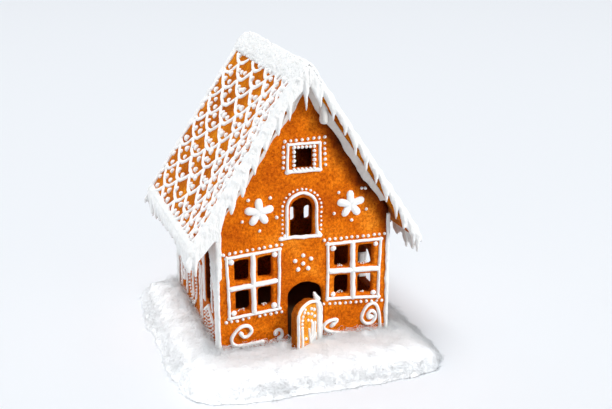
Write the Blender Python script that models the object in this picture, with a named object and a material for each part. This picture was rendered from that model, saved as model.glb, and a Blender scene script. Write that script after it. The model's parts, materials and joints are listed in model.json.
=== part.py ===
"""A gingerbread house on its board, with cotton-wool snow round its walls.

Eight flat biscuit pieces (two gables, two side walls, two roof panels and a door that stands ajar) are stuck
together with white icing. Metres, +Z up. The front gable faces -Y. The origin is the middle of the board's
underside, so the house stands on z = 0.
"""

import math
import random

import bmesh
import bpy
from mathutils import Vector

# Driving sizes.
GAP = 0.0003  # between pieces that touch
BOARD = (0.166, 0.194, 0.006)
BOARD_CORNER = 0.014
SNOW_TOP = 0.014  # height of the snow where it meets the walls
HOUSE_WIDTH = 0.120
HOUSE_DEPTH = 0.134
FRONT_Y = -0.055  # outer face of the front gable
BISCUIT = 0.006  # thickness of every baked piece
EAVE_HEIGHT = 0.1034  # where the roof's underside crosses the outer face of a side wall
ROOF_PITCH = math.radians(56.4)
ROOF_SLOPE = 0.140  # ridge to eave, along the top of a roof panel
ROOF_FRONT = 0.007  # overhang past the front gable
ROOF_BACK = 0.013  # overhang past the back gable
DOOR = {"width": 0.0250, "top": 0.0312, "swing": math.radians(29)}
DOOR_CORNER = (0.0121, -0.0015)  # its outer hinge edge: x, and y from the front gable's face
ICING = 0.0022  # thickness of the icing along the roof's edges
PIPED = 0.0014  # height of the piped outlines
RIDGE_LAP = (0.0135, 0.0060)  # how far the front and back icing reach in over the roof at the ridge
ROOF_LAP = (0.0020, 0.0025)  # and at the eaves

# What follows from them.
HALF_WIDTH = HOUSE_WIDTH / 2
BACK_Y = FRONT_Y + HOUSE_DEPTH
WALL_FOOT = BOARD[2] + GAP
APEX_HEIGHT = EAVE_HEIGHT + HALF_WIDTH * math.tan(ROOF_PITCH)
ROOF_Y = (FRONT_Y - ROOF_FRONT, BACK_Y + ROOF_BACK)
DOWN = Vector((math.cos(ROOF_PITCH), 0, -math.sin(ROOF_PITCH)))  # down the right-hand slope
OUT = Vector((math.sin(ROOF_PITCH), 0, math.cos(ROOF_PITCH)))  # square to the right-hand slope

# Openings, in (x, height above the snow) on the gables and (y from the front, height) on the side walls.
DOORWAY = {"middle": 0.0008, "width": 0.0250, "top": 0.0415}
FRONT_ARCH = {"middle": -0.0016, "width": 0.0164, "foot": 0.0735, "top": 0.1007}
FRONT_ATTIC = {"middle": -0.0003, "width": 0.0128, "foot": 0.1208, "top": 0.1344}
BACK_ARCH = {"middle": 0.0, "width": 0.0164, "foot": 0.0735, "top": 0.1007}
BACK_ATTIC = {"middle": 0.0, "width": 0.0128, "foot": 0.1208, "top": 0.1344}
LEFT_WINDOW = {"middle": 0.0265, "width": 0.0165, "foot": 0.0250, "top": 0.0640}
RIGHT_WINDOW = {"middle": 0.0272, "width": 0.0215, "foot": 0.0245, "top": 0.0527}
# Corners of the four-pane windows: top left, top right, bottom right, bottom left.
FRONT_LEFT_WINDOW = ((-0.0528, 0.0645), (-0.0173, 0.0666), (-0.0181, 0.0247), (-0.0522, 0.0222))
FRONT_RIGHT_WINDOW = ((0.0166, 0.0671), (0.0550, 0.0668), (0.0541, 0.0236), (0.0165, 0.0270))
BACK_LEFT_WINDOW = ((-0.0560, 0.0585), (-0.0205, 0.0580), (-0.0205, 0.0205), (-0.0560, 0.0210))
BACK_RIGHT_WINDOW = ((0.0205, 0.0580), (0.0560, 0.0588), (0.0556, 0.0212), (0.0208, 0.0206))
PANE_ACROSS = ((0.13, 0.42), (0.58, 0.87))  # shares of a window's width
PANE_DOWN = ((0.07, 0.42), (0.58, 0.91))  # shares of its height, from the top
# The back windows have only their upper panes cut out, the outer ones narrow.
BACK_LEFT_ACROSS = ((0.245, 0.385), (0.610, 0.870))
BACK_RIGHT_ACROSS = ((0.130, 0.390), (0.615, 0.755))
BACK_DOWN = ((0.10, 0.41),)


def above_snow(height):
    return SNOW_TOP + height


def roof_underside(x):
    return APEX_HEIGHT - abs(x) * math.tan(ROOF_PITCH)


# Materials.
def material(name, colour, roughness):
    made = bpy.data.materials.new(name)
    made.use_nodes = True
    shader = made.node_tree.nodes["Principled BSDF"]
    shader.inputs["Base Color"].default_value = (*colour, 1)
    shader.inputs["Roughness"].default_value = roughness
    made.diffuse_color = (*colour, 1)
    return made


def clear_scene():
    for old in list(bpy.data.objects):
        bpy.data.objects.remove(old)


# Shapes.
def add_object(name, points, faces, finish, smooth=False):
    """A named object made of one closed mesh, its faces turned outwards."""
    mesh = bpy.data.meshes.new(name)
    mesh.from_pydata([tuple(p) for p in points], [], faces)
    body = bmesh.new()
    body.from_mesh(mesh)
    bmesh.ops.recalc_face_normals(body, faces=body.faces)
    body.to_mesh(mesh)
    body.free()
    if smooth:
        mesh.shade_smooth()
        mesh.set_sharp_from_angle(angle=math.radians(40))
    made = bpy.data.objects.new(name, mesh)
    bpy.context.scene.collection.objects.link(made)
    if finish:
        made.data.materials.append(finish)
    return made


def loft(rings, capped=True, closed=False):
    """(points, faces) of a skin over rings of equal length, with a flat cap on each end ring."""
    size = len(rings[0])
    points = [p for ring in rings for p in ring]
    faces = []
    for r in range(len(rings) if closed else len(rings) - 1):
        here, there = r * size, (r + 1) % len(rings) * size
        for i in range(size):
            j = (i + 1) % size
            faces.append((here + i, here + j, there + j, there + i))
    if capped and not closed:
        faces.append(tuple(range(size)))
        faces.append(tuple(range(len(points) - size, len(points))))
    return points, faces


def join_bodies(bodies):
    """One (points, faces) from several that don't touch."""
    points, faces = [], []
    for more_points, more_faces in bodies:
        start = len(points)
        points += more_points
        faces += [tuple(start + i for i in face) for face in more_faces]
    return points, faces


def slab_y(outline, low, high):
    """An outline of (x, z) made solid from y = low to y = high."""
    return loft([[Vector((x, y, z)) for x, z in outline] for y in (low, high)])


def slab_x(outline, low, high):
    """An outline of (y, z) made solid from x = low to x = high."""
    return loft([[Vector((x, y, z)) for y, z in outline] for x in (low, high)])


def cut(target, name, bodies):
    """Takes the bodies away from the target with one hidden cutter."""
    cutter = add_object(name, *join_bodies(bodies), None)
    cutter.hide_render = True
    cutter.display_type = "WIRE"
    knife = target.modifiers.new(name, "BOOLEAN")
    knife.operation = "DIFFERENCE"
    knife.solver = "EXACT"
    knife.object = cutter


# Outlines.
def rectangle(opening):
    half = opening["width"] / 2
    left, right = opening["middle"] - half, opening["middle"] + half
    foot, top = above_snow(opening["foot"]), above_snow(opening["top"])
    return [(left, foot), (right, foot), (right, top), (left, top)]


def arch(opening, grow=0.0, rise=1.0, steps=10):
    """An upright opening with a round top; rise below 1 flattens the arc. grow moves the outline outwards."""
    half = opening["width"] / 2 + grow
    foot, top = above_snow(opening.get("foot", 0)), above_snow(opening["top"]) + grow
    spring = top - half * rise
    outline = [(opening["middle"] - half, foot), (opening["middle"] + half, foot)]
    for step in range(steps + 1):
        turn = math.pi * step / steps
        outline.append((opening["middle"] + half * math.cos(turn), spring + half * rise * math.sin(turn)))
    return outline


def within(corners, across, down):
    """A point inside a four-cornered window, by its shares of the width and of the height from the top."""
    top = Vector(corners[0]).lerp(Vector(corners[1]), across)
    foot = Vector(corners[3]).lerp(Vector(corners[2]), across)
    x, height = top.lerp(foot, down)
    return x, above_snow(height)


def panes(corners, across=PANE_ACROSS, down=PANE_DOWN):
    """The outlines of a window's panes."""
    for left, right in across:
        for top, foot in down:
            places = ((left, foot), (right, foot), (right, top), (left, top))
            yield [within(corners, *place) for place in places]


def flower_outline(middle, turn, petals=5, radius=0.0094, steps=50):
    outline = []
    for step in range(steps):
        angle = 2 * math.pi * step / steps
        lobe = abs(math.cos(petals * angle / 2))
        reach = radius * (0.38 + 0.62 * lobe**0.6)
        outline.append((middle[0] + reach * math.cos(angle + turn), middle[1] + reach * math.sin(angle + turn)))
    return outline


# Baked pieces.
def gable_outline():
    slack = GAP / math.cos(ROOF_PITCH)
    corner = roof_underside(HALF_WIDTH) - slack
    return [
        (-HALF_WIDTH, WALL_FOOT),
        (HALF_WIDTH, WALL_FOOT),
        (HALF_WIDTH, corner),
        (0, APEX_HEIGHT - slack),
        (-HALF_WIDTH, corner),
    ]


def front_wall(finish):
    low, high = FRONT_Y, FRONT_Y + BISCUIT
    wall = add_object("front_wall", *slab_y(gable_outline(), low, high), finish)
    holes = [arch(FRONT_ARCH), rectangle(FRONT_ATTIC), *panes(FRONT_LEFT_WINDOW), *panes(FRONT_RIGHT_WINDOW)]
    doorway = arch(DOORWAY, rise=0.75)
    doorway[0] = (doorway[0][0], 0)
    doorway[1] = (doorway[1][0], 0)
    cut(wall, "front_cutter", [slab_y(hole, low - 0.01, high + 0.01) for hole in [doorway, *holes]])


def back_wall(finish):
    low, high = BACK_Y - BISCUIT, BACK_Y
    wall = add_object("back_wall", *slab_y(gable_outline(), low, high), finish)
    holes = [arch(BACK_ARCH), rectangle(BACK_ATTIC), *panes(BACK_LEFT_WINDOW, BACK_LEFT_ACROSS, BACK_DOWN)]
    holes += panes(BACK_RIGHT_WINDOW, BACK_RIGHT_ACROSS, BACK_DOWN)
    cut(wall, "back_cutter", [slab_y(hole, low - 0.01, high + 0.01) for hole in holes])


def side_wall(name, side, finish):
    """side is -1 on the left and 1 on the right. The walls stand between the two gables."""
    slack = GAP / math.cos(ROOF_PITCH)
    inner = HALF_WIDTH - BISCUIT
    outline = [
        (side * HALF_WIDTH, WALL_FOOT),
        (side * inner, WALL_FOOT),
        (side * inner, roof_underside(inner) - slack),
        (side * HALF_WIDTH, roof_underside(HALF_WIDTH) - slack),
    ]
    inset = BISCUIT + GAP
    wall = add_object(name, *slab_y(outline, FRONT_Y + inset, BACK_Y - inset), finish)
    window = LEFT_WINDOW if side < 0 else RIGHT_WINDOW
    holes = [arch(dict(window, middle=FRONT_Y + window["middle"]))]
    ends = sorted((side * (inner - 0.01), side * (HALF_WIDTH + 0.01)))
    cut(wall, name + "_cutter", [slab_x(hole, *ends) for hole in holes])


def slope_point(side, down, out, y):
    """A point by its distance down the roof's top face from the ridge and its height above that face."""
    ridge = Vector((0, 0, APEX_HEIGHT + BISCUIT / math.cos(ROOF_PITCH)))
    place = ridge + DOWN * down + OUT * out
    return Vector((side * place.x, y, place.z))


def mitre(side, out, y):
    """The point at that height over the roof's top face where it meets the upright plane through the ridge."""
    down = (GAP / 2 - OUT.x * out) / DOWN.x
    return slope_point(side, down, out, y)


def roof_panel(name, side, finish):
    def ends(y):
        eave = slope_point(side, ROOF_SLOPE, 0, y), slope_point(side, ROOF_SLOPE, -BISCUIT, y)
        return [mitre(side, -BISCUIT, y), mitre(side, 0, y), *eave]

    add_object(name, *loft([ends(y) for y in ROOF_Y]), finish)


def door_outline(grow=0.0):
    """The door seen square on, hinged at x = 0 and reaching to x = -width."""
    opening = {"middle": -DOOR["width"] / 2, "width": DOOR["width"], "top": DOOR["top"]}
    outline = arch(opening, grow=grow, rise=0.77, steps=12)
    foot = WALL_FOOT - grow
    return [(outline[0][0], foot), (outline[1][0], foot), *outline[2:]]


def door_body(grow=0.0):
    """The door swung out of its doorway about the outer right-hand edge."""
    swing = DOOR["swing"]
    hinge = Vector((DOOR_CORNER[0], FRONT_Y + DOOR_CORNER[1], 0))
    along = Vector((math.cos(swing), math.sin(swing), 0))
    outward = Vector((math.sin(swing), -math.cos(swing), 0))
    rings = []
    for depth in (-BISCUIT - grow, grow):
        rings.append([hinge + along * x + outward * depth + Vector((0, 0, z)) for x, z in door_outline(grow)])
    return loft(rings)


# Board and snow.
def rounded_ring(half_x, half_y, corner, height, middle_y=0.0, swell=None, straight=4, bends=5):
    """Points round a rectangle with round corners. Rings with other sizes match it point by point.

    swell gives how far each point moves outwards, by its angle round the board.
    """
    ring = []
    for quarter in range(4):
        sx, sy = ((1, -1), (1, 1), (-1, 1), (-1, -1))[quarter]
        centre = Vector((sx * (half_x - corner), sy * (half_y - corner)))
        bend = []
        for step in range(bends):
            turn = math.pi / 2 * (quarter - 1 + step / (bends - 1))
            bend.append((centre, Vector((math.cos(turn), math.sin(turn)))))
        nx, ny = ((1, 1), (-1, 1), (-1, -1), (1, -1))[quarter]
        after = Vector((nx * (half_x - corner), ny * (half_y - corner)))
        run = [(centre.lerp(after, step / straight), bend[-1][1]) for step in range(1, straight)]
        for place, normal in bend + run:
            flat = place + normal * corner
            if swell:
                flat += normal * swell(math.atan2(flat.y / half_y, flat.x / half_x))
            ring.append(Vector((flat.x, middle_y + flat.y, height)))
    return ring


def board(finish):
    width, depth, thick = BOARD
    add_object("board", *loft([rounded_ring(width / 2, depth / 2, BOARD_CORNER, z) for z in (0, thick)]), finish)


def snow(finish):
    """Cotton wool laid on the board round the house and hanging a little over its edges."""
    board_x, board_y = BOARD[0] / 2, BOARD[1] / 2

    def puff(angle):
        return 0.0008 * (math.cos(4 * angle + 0.6) + math.cos(6 * angle) + math.cos(10 * angle + 2))

    def round_house(grow, height):
        corner = GAP + grow
        half_y = HOUSE_DEPTH / 2
        return rounded_ring(HALF_WIDTH + corner, half_y + corner, corner, height, (FRONT_Y + BACK_Y) / 2)

    def round_board(grow, height, swell=puff):
        return rounded_ring(board_x + grow, board_y + grow, BOARD_CORNER + grow, height, swell=swell)

    rings = [
        round_house(0, WALL_FOOT),
        round_house(0, SNOW_TOP),
        round_house(0.006, SNOW_TOP + 0.0004),
        round_board(-0.009, SNOW_TOP + 0.0010),
        round_board(-0.002, SNOW_TOP - 0.0002),
        round_board(0.003, SNOW_TOP - 0.0035),
        round_board(0.0045, 0.0065),
        round_board(0.0032, 0.0012),
        round_board(GAP, 0.0012, swell=None),
        round_board(GAP, WALL_FOOT, swell=None),
    ]
    wool = add_object("cotton_snow", *loft(rings, closed=True), finish, smooth=True)
    cut(wool, "door_print", [door_body(grow=GAP)])


# Icing along the roof.
def icicles(length, seed, reach, spacing=0.0155):
    """Where the icicles hang along an edge, and how long each is."""
    draw = random.Random(seed)
    found, place = [], spacing * 0.8
    while place < length - 0.004:
        found.append((place, reach * draw.uniform(0.65, 1.15)))
        place += spacing * draw.uniform(0.75, 1.2)
    return found


def hang(place, found, width=0.0042):
    """How far the icing hangs at that place: each icicle is a peak as wide as given."""
    return max([0.0] + [reach * (1 - abs(place - middle) / width) for middle, reach in found])


def gable_icing(name, side, end, seed, finish):
    """Icing along one sloping edge of the roof. end is 0 for the front edge and 1 for the back."""
    away = (-1, 1)[end]
    edge = ROOF_Y[end]
    found = icicles(ROOF_SLOPE, seed, 0.0055)
    cover = ICING + GAP
    steps = 45

    def section(place, at, thin=1.0):
        lap = ROOF_LAP[end] + (RIDGE_LAP[end] - ROOF_LAP[end]) * (1 - place / ROOF_SLOPE) ** 2
        low = -BISCUIT * 0.45 - hang(place, found)
        profile = [
            (-lap, GAP),
            (-lap * 0.85, cover * thin),
            (0.0, (cover + 0.0004) * thin),
            (cover * 0.8, ICING * 0.6 * thin),
            (cover, -BISCUIT * 0.35),
            (cover * 0.7, low),
            (GAP, low + 0.0004),
            (GAP, GAP),
        ]
        return [at(out, edge + away * forward) for forward, out in profile]

    rings = [section(0, lambda out, y: mitre(side, out, y), thin=0.5)]
    first = 0.013
    for step in range(steps + 1):
        place = first + (ROOF_SLOPE + 0.001 - first) * step / steps
        rings.append(section(place, lambda out, y, place=place: slope_point(side, place, out, y)))
    add_object(name, *loft(rings), finish, smooth=True)


def eave_icing(name, side, seed, finish):
    """Icing over the lower edge of a roof panel, with drips that hang straight down."""
    clear = 3 * GAP
    low_y, high_y = ROOF_Y[0] + ROOF_LAP[0] + clear, ROOF_Y[1] - ROOF_LAP[1] - clear
    found = icicles(high_y - low_y, seed, 0.0115, spacing=0.0125)
    cover = ICING + GAP
    steps = 44
    rings = []
    for step in range(steps + 1):
        y = low_y + (high_y - low_y) * step / steps
        drip = hang(y - low_y, found, width=0.0040)
        end = ROOF_SLOPE + GAP
        lip = slope_point(side, end + ICING, -BISCUIT, y)
        tip = Vector((lip.x - side * 0.0008, y, lip.z - 0.001 - drip))
        back = slope_point(side, end, -BISCUIT, y)
        rings.append(
            [
                slope_point(side, ROOF_SLOPE - 0.007, GAP, y),
                slope_point(side, ROOF_SLOPE - 0.006, cover, y),
                slope_point(side, ROOF_SLOPE, cover, y),
                slope_point(side, end + ICING, -BISCUIT * 0.3, y),
                lip,
                tip,
                back,
                slope_point(side, end, GAP, y),
            ]
        )
    add_object(name, *loft(rings), finish, smooth=True)


def ridge_icing(finish):
    """The thick saddle of icing over the ridge, between the icing of the two gables."""
    low_y, high_y = ROOF_Y[0] + RIDGE_LAP[0] + GAP, ROOF_Y[1] - RIDGE_LAP[1] - GAP
    steps = 26
    rings = []
    for step in range(steps + 1):
        y = low_y + (high_y - low_y) * step / steps
        reach = 0.0145 + 0.0012 * math.sin(step * 1.9) + 0.0008 * math.sin(step * 0.8)
        thick = 0.0034 + 0.0004 * math.sin(step * 1.3)
        half = [
            slope_point(1, reach, GAP, y),
            slope_point(1, reach - 0.0006, thick * 0.55, y),
            slope_point(1, reach * 0.6, thick, y),
            slope_point(1, reach * 0.15, thick * 1.05, y),
        ]
        crown = Vector((0, y, slope_point(1, 0, thick * 1.35, y).z))
        other = [Vector((-p.x, p.y, p.z)) for p in reversed(half)]
        valley = slope_point(1, 0, 0, y)
        rings.append([*half, crown, *other, Vector((0, y, valley.z + GAP / math.cos(ROOF_PITCH)))])
    add_object("icing_ridge", *loft(rings), finish, smooth=True)


def corner_seam(name, side, end, finish):
    """The bead of icing up one outside corner of the walls."""
    away = (-1, 1)[end]
    face = (FRONT_Y, BACK_Y)[end]
    profile = [(-0.0032, GAP), (-0.0026, 0.0015), (0.0006, 0.0019), (0.0019, 0.0006), (0.0015, -0.0032), (GAP, -0.0040)]
    profile.append((GAP, GAP))
    low, high = SNOW_TOP + 0.0012, roof_underside(HALF_WIDTH + 0.0030) - 0.001
    steps = 10
    rings = []
    for step in range(steps + 1):
        z = low + (high - low) * step / steps
        swell = 1 + 0.12 * math.sin(step * 1.7 + side)
        ring = []
        for x, y in profile:
            x, y = (v if abs(v) <= GAP else v * swell for v in (x, y))
            ring.append(Vector((side * (HALF_WIDTH + x), face + away * y, z)))
        rings.append(ring)
    add_object(name, *loft(rings), finish, smooth=True)


def gable_seam(name, side, end, finish):
    """The fillet of icing where the top of a gable meets the underside of the roof."""
    away = (-1, 1)[end]
    face = (FRONT_Y, BACK_Y)[end]
    under = -BISCUIT - GAP
    steps = 16
    rings = []
    for step in range(steps + 1):
        place = 0.016 + 0.093 * step / steps
        leg = 0.0040 + 0.0006 * math.sin(step * 1.4 + side)
        profile = [(GAP, under), (0.0036, under), (0.0024, under - leg * 0.55), (GAP, under - leg)]
        rings.append([slope_point(side, place, out, face + away * y) for y, out in profile])
    add_object(name, *loft(rings), finish, smooth=True)


# Piped outlines large enough to count as pieces.
def facing(name, outline_solid, end, finish):
    """Piped work on a gable: a solid between two distances from its outer face."""
    face, away = ((FRONT_Y, -1), (BACK_Y, 1))[end]
    low, high = sorted((face + away * GAP, face + away * (GAP + PIPED)))
    add_object(name, *outline_solid(low, high), finish)


def window_icing(corners, low, high):
    """An outline with a thick cross, as one flat piece with four holes."""
    marks = (0.0, 0.055, 0.44, 0.56, 0.945, 1.0)
    bars = (0, 2, 4)
    points = [Vector((*within(corners, u, v), 0)) for v in marks for u in marks]
    points = [Vector((p.x, y, p.y)) for y in (low, high) for p in points]
    size = len(marks)

    def filled(row, column):
        inside = 0 <= row < size - 1 and 0 <= column < size - 1
        return inside and (row in bars or column in bars)

    def at(row, column, layer):
        return layer * size * size + row * size + column

    faces = []
    for row in range(size - 1):
        for column in range(size - 1):
            if not filled(row, column):
                continue
            square = ((row, column), (row, column + 1), (row + 1, column + 1), (row + 1, column))
            for layer in (0, 1):
                faces.append(tuple(at(*place, layer) for place in square))
            beside = ((row - 1, column), (row, column + 1), (row + 1, column), (row, column - 1))
            for start, neighbour in enumerate(beside):
                if not filled(*neighbour):
                    a, b = square[start], square[(start + 1) % 4]
                    faces.append((at(*a, 0), at(*b, 0), at(*b, 1), at(*a, 1)))
    return points, faces


def ring_solid(inner, outer, low, high):
    """The flat band between two outlines with as many points."""
    rings = []
    for outline, y in ((inner, low), (outer, low), (outer, high), (inner, high)):
        rings.append([Vector((x, y, z)) for x, z in outline])
    return loft(rings, closed=True)


def arch_icing(opening, low, high):
    """The outline round an arched window, with its sill as the lowest stretch."""
    inner, outer = arch(opening, grow=0.0012), arch(opening, grow=0.0034)
    sill = above_snow(opening["foot"])
    reach = opening["width"] / 2 + 0.0055
    inner[0], inner[1] = (inner[0][0], sill - GAP), (inner[1][0], sill - GAP)
    outer[0] = (opening["middle"] - reach, sill - 0.0024)
    outer[1] = (opening["middle"] + reach, sill - 0.0024)
    return ring_solid(inner, outer, low, high)


def attic_icing(opening, low, high):
    middle = Vector((opening["middle"], above_snow((opening["foot"] + opening["top"]) / 2)))
    edge = rectangle(opening)
    inner = [middle + (Vector(p) - middle) * 1.40 for p in edge]
    outer = [middle + (Vector(p) - middle) * 1.75 for p in edge]
    return ring_solid(inner, outer, low, high)


def gable_piping(end, windows, arched, attic, flowers, finish):
    side = ("front", "back")[end]
    for hand, corners in zip(("left", "right"), windows):
        facing(f"icing_window_{side}_{hand}", lambda a, b, c=corners: window_icing(c, a, b), end, finish)
    facing(f"icing_arch_{side}", lambda a, b: arch_icing(arched, a, b), end, finish)
    facing(f"icing_attic_{side}", lambda a, b: attic_icing(attic, a, b), end, finish)
    for hand, (x, height, turn) in zip(("left", "right"), flowers):
        outline = flower_outline((x, above_snow(height)), turn)
        facing(f"icing_flower_{side}_{hand}", lambda a, b, o=outline: slab_y(o, a, b), end, finish)


def build():
    clear_scene()
    gingerbread = material("gingerbread", (0.50, 0.17, 0.03), 0.75)
    icing = material("icing", (0.92, 0.92, 0.90), 0.5)
    wool = material("cotton_wool", (0.93, 0.94, 0.95), 1.0)
    card = material("board", (0.85, 0.85, 0.84), 0.6)

    board(card)
    snow(wool)
    front_wall(gingerbread)
    back_wall(gingerbread)
    add_object("door", *door_body(), gingerbread)
    ridge_icing(icing)
    for side, hand in ((-1, "left"), (1, "right")):
        side_wall(hand + "_wall", side, gingerbread)
        roof_panel("roof_" + hand, side, gingerbread)
        eave_icing("icing_eave_" + hand, side, 5 + side, icing)
        for end, where in enumerate(("front", "back")):
            seed = 10 + 3 * end + side
            gable_icing(f"icing_gable_{where}_{hand}", side, end, seed, icing)
            corner_seam(f"icing_corner_{where}_{hand}", side, end, icing)
            gable_seam(f"icing_seam_{where}_{hand}", side, end, icing)
    front_flowers = ((-0.0307, 0.0935, 1.45), (0.0323, 0.0935, 1.15))
    back_flowers = ((-0.0310, 0.0930, 1.60), (0.0310, 0.0930, 1.30))
    gable_piping(0, (FRONT_LEFT_WINDOW, FRONT_RIGHT_WINDOW), FRONT_ARCH, FRONT_ATTIC, front_flowers, icing)
    gable_piping(1, (BACK_LEFT_WINDOW, BACK_RIGHT_WINDOW), BACK_ARCH, BACK_ATTIC, back_flowers, icing)


build()
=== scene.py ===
"""Looks of a gingerbread house on its board: baked walls, piped royal icing and cotton-wool snow.

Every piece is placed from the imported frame, in metres, +Z up. The front gable faces -Y.
"""

import json
import math
import random

import bmesh
import bpy
from mathutils import Matrix, Vector, noise

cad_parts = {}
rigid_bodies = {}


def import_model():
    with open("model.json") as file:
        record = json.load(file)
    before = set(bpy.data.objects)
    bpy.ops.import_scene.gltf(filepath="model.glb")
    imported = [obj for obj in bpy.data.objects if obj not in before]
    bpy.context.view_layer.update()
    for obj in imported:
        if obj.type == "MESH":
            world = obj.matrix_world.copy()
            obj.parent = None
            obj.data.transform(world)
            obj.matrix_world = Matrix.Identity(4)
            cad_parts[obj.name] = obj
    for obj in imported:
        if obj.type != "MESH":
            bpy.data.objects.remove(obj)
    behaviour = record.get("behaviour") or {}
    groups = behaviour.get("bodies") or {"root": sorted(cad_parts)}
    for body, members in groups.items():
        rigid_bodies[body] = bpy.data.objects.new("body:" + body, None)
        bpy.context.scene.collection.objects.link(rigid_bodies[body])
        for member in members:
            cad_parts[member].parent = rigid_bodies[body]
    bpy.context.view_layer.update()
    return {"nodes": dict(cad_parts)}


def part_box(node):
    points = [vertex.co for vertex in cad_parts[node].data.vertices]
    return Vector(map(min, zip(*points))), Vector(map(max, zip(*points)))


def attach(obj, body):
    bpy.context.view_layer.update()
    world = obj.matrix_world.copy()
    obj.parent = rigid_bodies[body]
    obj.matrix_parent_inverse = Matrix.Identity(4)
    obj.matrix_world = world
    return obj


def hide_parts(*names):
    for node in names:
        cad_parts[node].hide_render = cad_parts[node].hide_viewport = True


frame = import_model()

MM = 0.001
BODY = "root"

# Places read from the frame.
WALL_LOW, WALL_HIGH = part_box("front_wall")
FRONT_Y = WALL_LOW.y
BACK_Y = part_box("back_wall")[1].y
HALF_WIDTH = WALL_HIGH.x
ROOF_LOW, ROOF_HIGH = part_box("roof_right")
ROOF_Y = (ROOF_LOW.y, ROOF_HIGH.y)
SNOW_LOW, SNOW_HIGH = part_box("cotton_snow")

# Sizes that the frame's boxes don't give.
BISCUIT = 6.0 * MM
ROOF_PITCH = math.radians(56.4)
ROOF_SLOPE = 140 * MM
SNOW_TOP = 14 * MM
DOOR_SWING = math.radians(29)
DOOR_CORNER = (12.1 * MM, -1.5 * MM)  # its outer hinge edge: x, and y from the front gable's face
DOWN = Vector((math.cos(ROOF_PITCH), 0, -math.sin(ROOF_PITCH)))
OUT = Vector((math.sin(ROOF_PITCH), 0, math.cos(ROOF_PITCH)))
RIDGE = Vector((0, 0, ROOF_HIGH.z))
SUNK = 0.35 * MM  # how far piping reaches into what it lies on
FINE = 0.25  # length, in millimetres, of the pieces in which a rounded line is measured


# Surfaces: each maps (a, b, out) in millimetres to a point, a across, b up or down, out off the face.
def front(a, b, out=0.0):
    return Vector((a * MM, FRONT_Y - out * MM, SNOW_TOP + b * MM))


def back(a, b, out=0.0):
    return Vector((a * MM, BACK_Y + out * MM, SNOW_TOP + b * MM))


def wall(side):
    def place(a, b, out=0.0):
        return Vector((side * (HALF_WIDTH + out * MM), FRONT_Y + a * MM, SNOW_TOP + b * MM))

    return place


def slope(side):
    """a is the distance from the front gable's face to the back, b the distance down from the ridge."""

    def place(a, b, out=0.0):
        point = RIDGE + DOWN * (b * MM) + OUT * (out * MM)
        return Vector((side * point.x, FRONT_Y + a * MM, point.z))

    return place


def door_face(a, b, out=0.0):
    """a runs from the hinge edge to the free edge."""
    along = Vector((math.cos(DOOR_SWING), math.sin(DOOR_SWING), 0))
    outward = Vector((math.sin(DOOR_SWING), -math.cos(DOOR_SWING), 0))
    hinge = Vector((DOOR_CORNER[0], FRONT_Y + DOOR_CORNER[1], SNOW_TOP))
    return hinge - along * (a * MM) + outward * (out * MM) + Vector((0, 0, b * MM))


# Meshes.
class Skin:
    """Closed bodies gathered into one mesh."""

    def __init__(self):
        self.points = []
        self.faces = []

    def add(self, points, faces):
        start = len(self.points)
        self.points.extend(points)
        self.faces.extend(tuple(start + i for i in face) for face in faces)

    def rings(self, rings, tip=None, closed=False):
        """A skin over rings of equal length. It closes on itself, or on its first ring and its tip."""
        size = len(rings[0])
        points = [p for ring in rings for p in ring]
        faces = []
        last = len(rings) if closed else len(rings) - 1
        for r in range(last):
            here, there = r * size, (r + 1) % len(rings) * size
            for i in range(size):
                j = (i + 1) % size
                faces.append((here + i, here + j, there + j, there + i))
        if not closed:
            faces.append(tuple(range(size - 1, -1, -1)))
            top = len(points) - size
            if tip is None:
                faces.append(tuple(range(top, top + size)))
            else:
                points.append(tip)
                faces += [(top + i, top + (i + 1) % size, len(points) - 1) for i in range(size)]
        self.add(points, faces)

    def mesh(self, name):
        made = bpy.data.meshes.new(name)
        made.from_pydata([tuple(p) for p in self.points], [], self.faces)
        return made


def outwards(mesh):
    """Turns the faces of every closed body outwards."""
    body = bmesh.new()
    body.from_mesh(mesh)
    bmesh.ops.recalc_face_normals(body, faces=body.faces)
    body.to_mesh(mesh)
    body.free()
    return mesh


def put(name, mesh, material, replaced=()):
    """A piece of the object, smooth, riding on the house."""
    outwards(mesh)
    mesh.shade_smooth()
    made = bpy.data.objects.new(name, mesh)
    bpy.context.scene.collection.objects.link(made)
    mesh.materials.clear()
    mesh.materials.append(material)
    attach(made, BODY)
    if replaced:
        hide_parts(*replaced)
    return made


def piped(name, skin, *replaced):
    """A piece of plain white piping."""
    return put(name, skin.mesh(name), ICING, replaced)


# Piping.
def through(points, step, closed=False, smooth=True):
    """Evenly spaced places along a line through the points, rounded at each of them if smooth."""
    points = [Vector((*p, 0)) for p in points]
    count = len(points)
    dense = []
    for i in range(count if closed else count - 1):
        one, two = points[i], points[(i + 1) % count]
        if closed:
            before, after = points[i - 1], points[(i + 2) % count]
        else:
            before, after = points[max(i - 1, 0)], points[min(i + 2, count - 1)]
        pieces = max(2, int((two - one).length / FINE))
        for k in range(pieces):
            t = k / pieces
            if smooth:
                place = 0.5 * (
                    2 * one
                    + (two - before) * t
                    + (2 * before - 5 * one + 4 * two - after) * t**2
                    + (3 * one - before - 3 * two + after) * t**3
                )
            else:
                place = one.lerp(two, t)
            dense.append(place)
    dense.append(points[0] if closed else points[-1])
    reach = [0.0]
    for one, two in zip(dense, dense[1:]):
        reach.append(reach[-1] + (two - one).length)
    wanted = max(3, round(reach[-1] / step))
    found = []
    at = 0
    for k in range(wanted if closed else wanted + 1):
        goal = reach[-1] * k / wanted
        while at < len(reach) - 2 and reach[at + 1] < goal:
            at += 1
        gap = reach[at + 1] - reach[at]
        found.append(dense[at].lerp(dense[at + 1], (goal - reach[at]) / gap if gap else 0))
    return found


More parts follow.
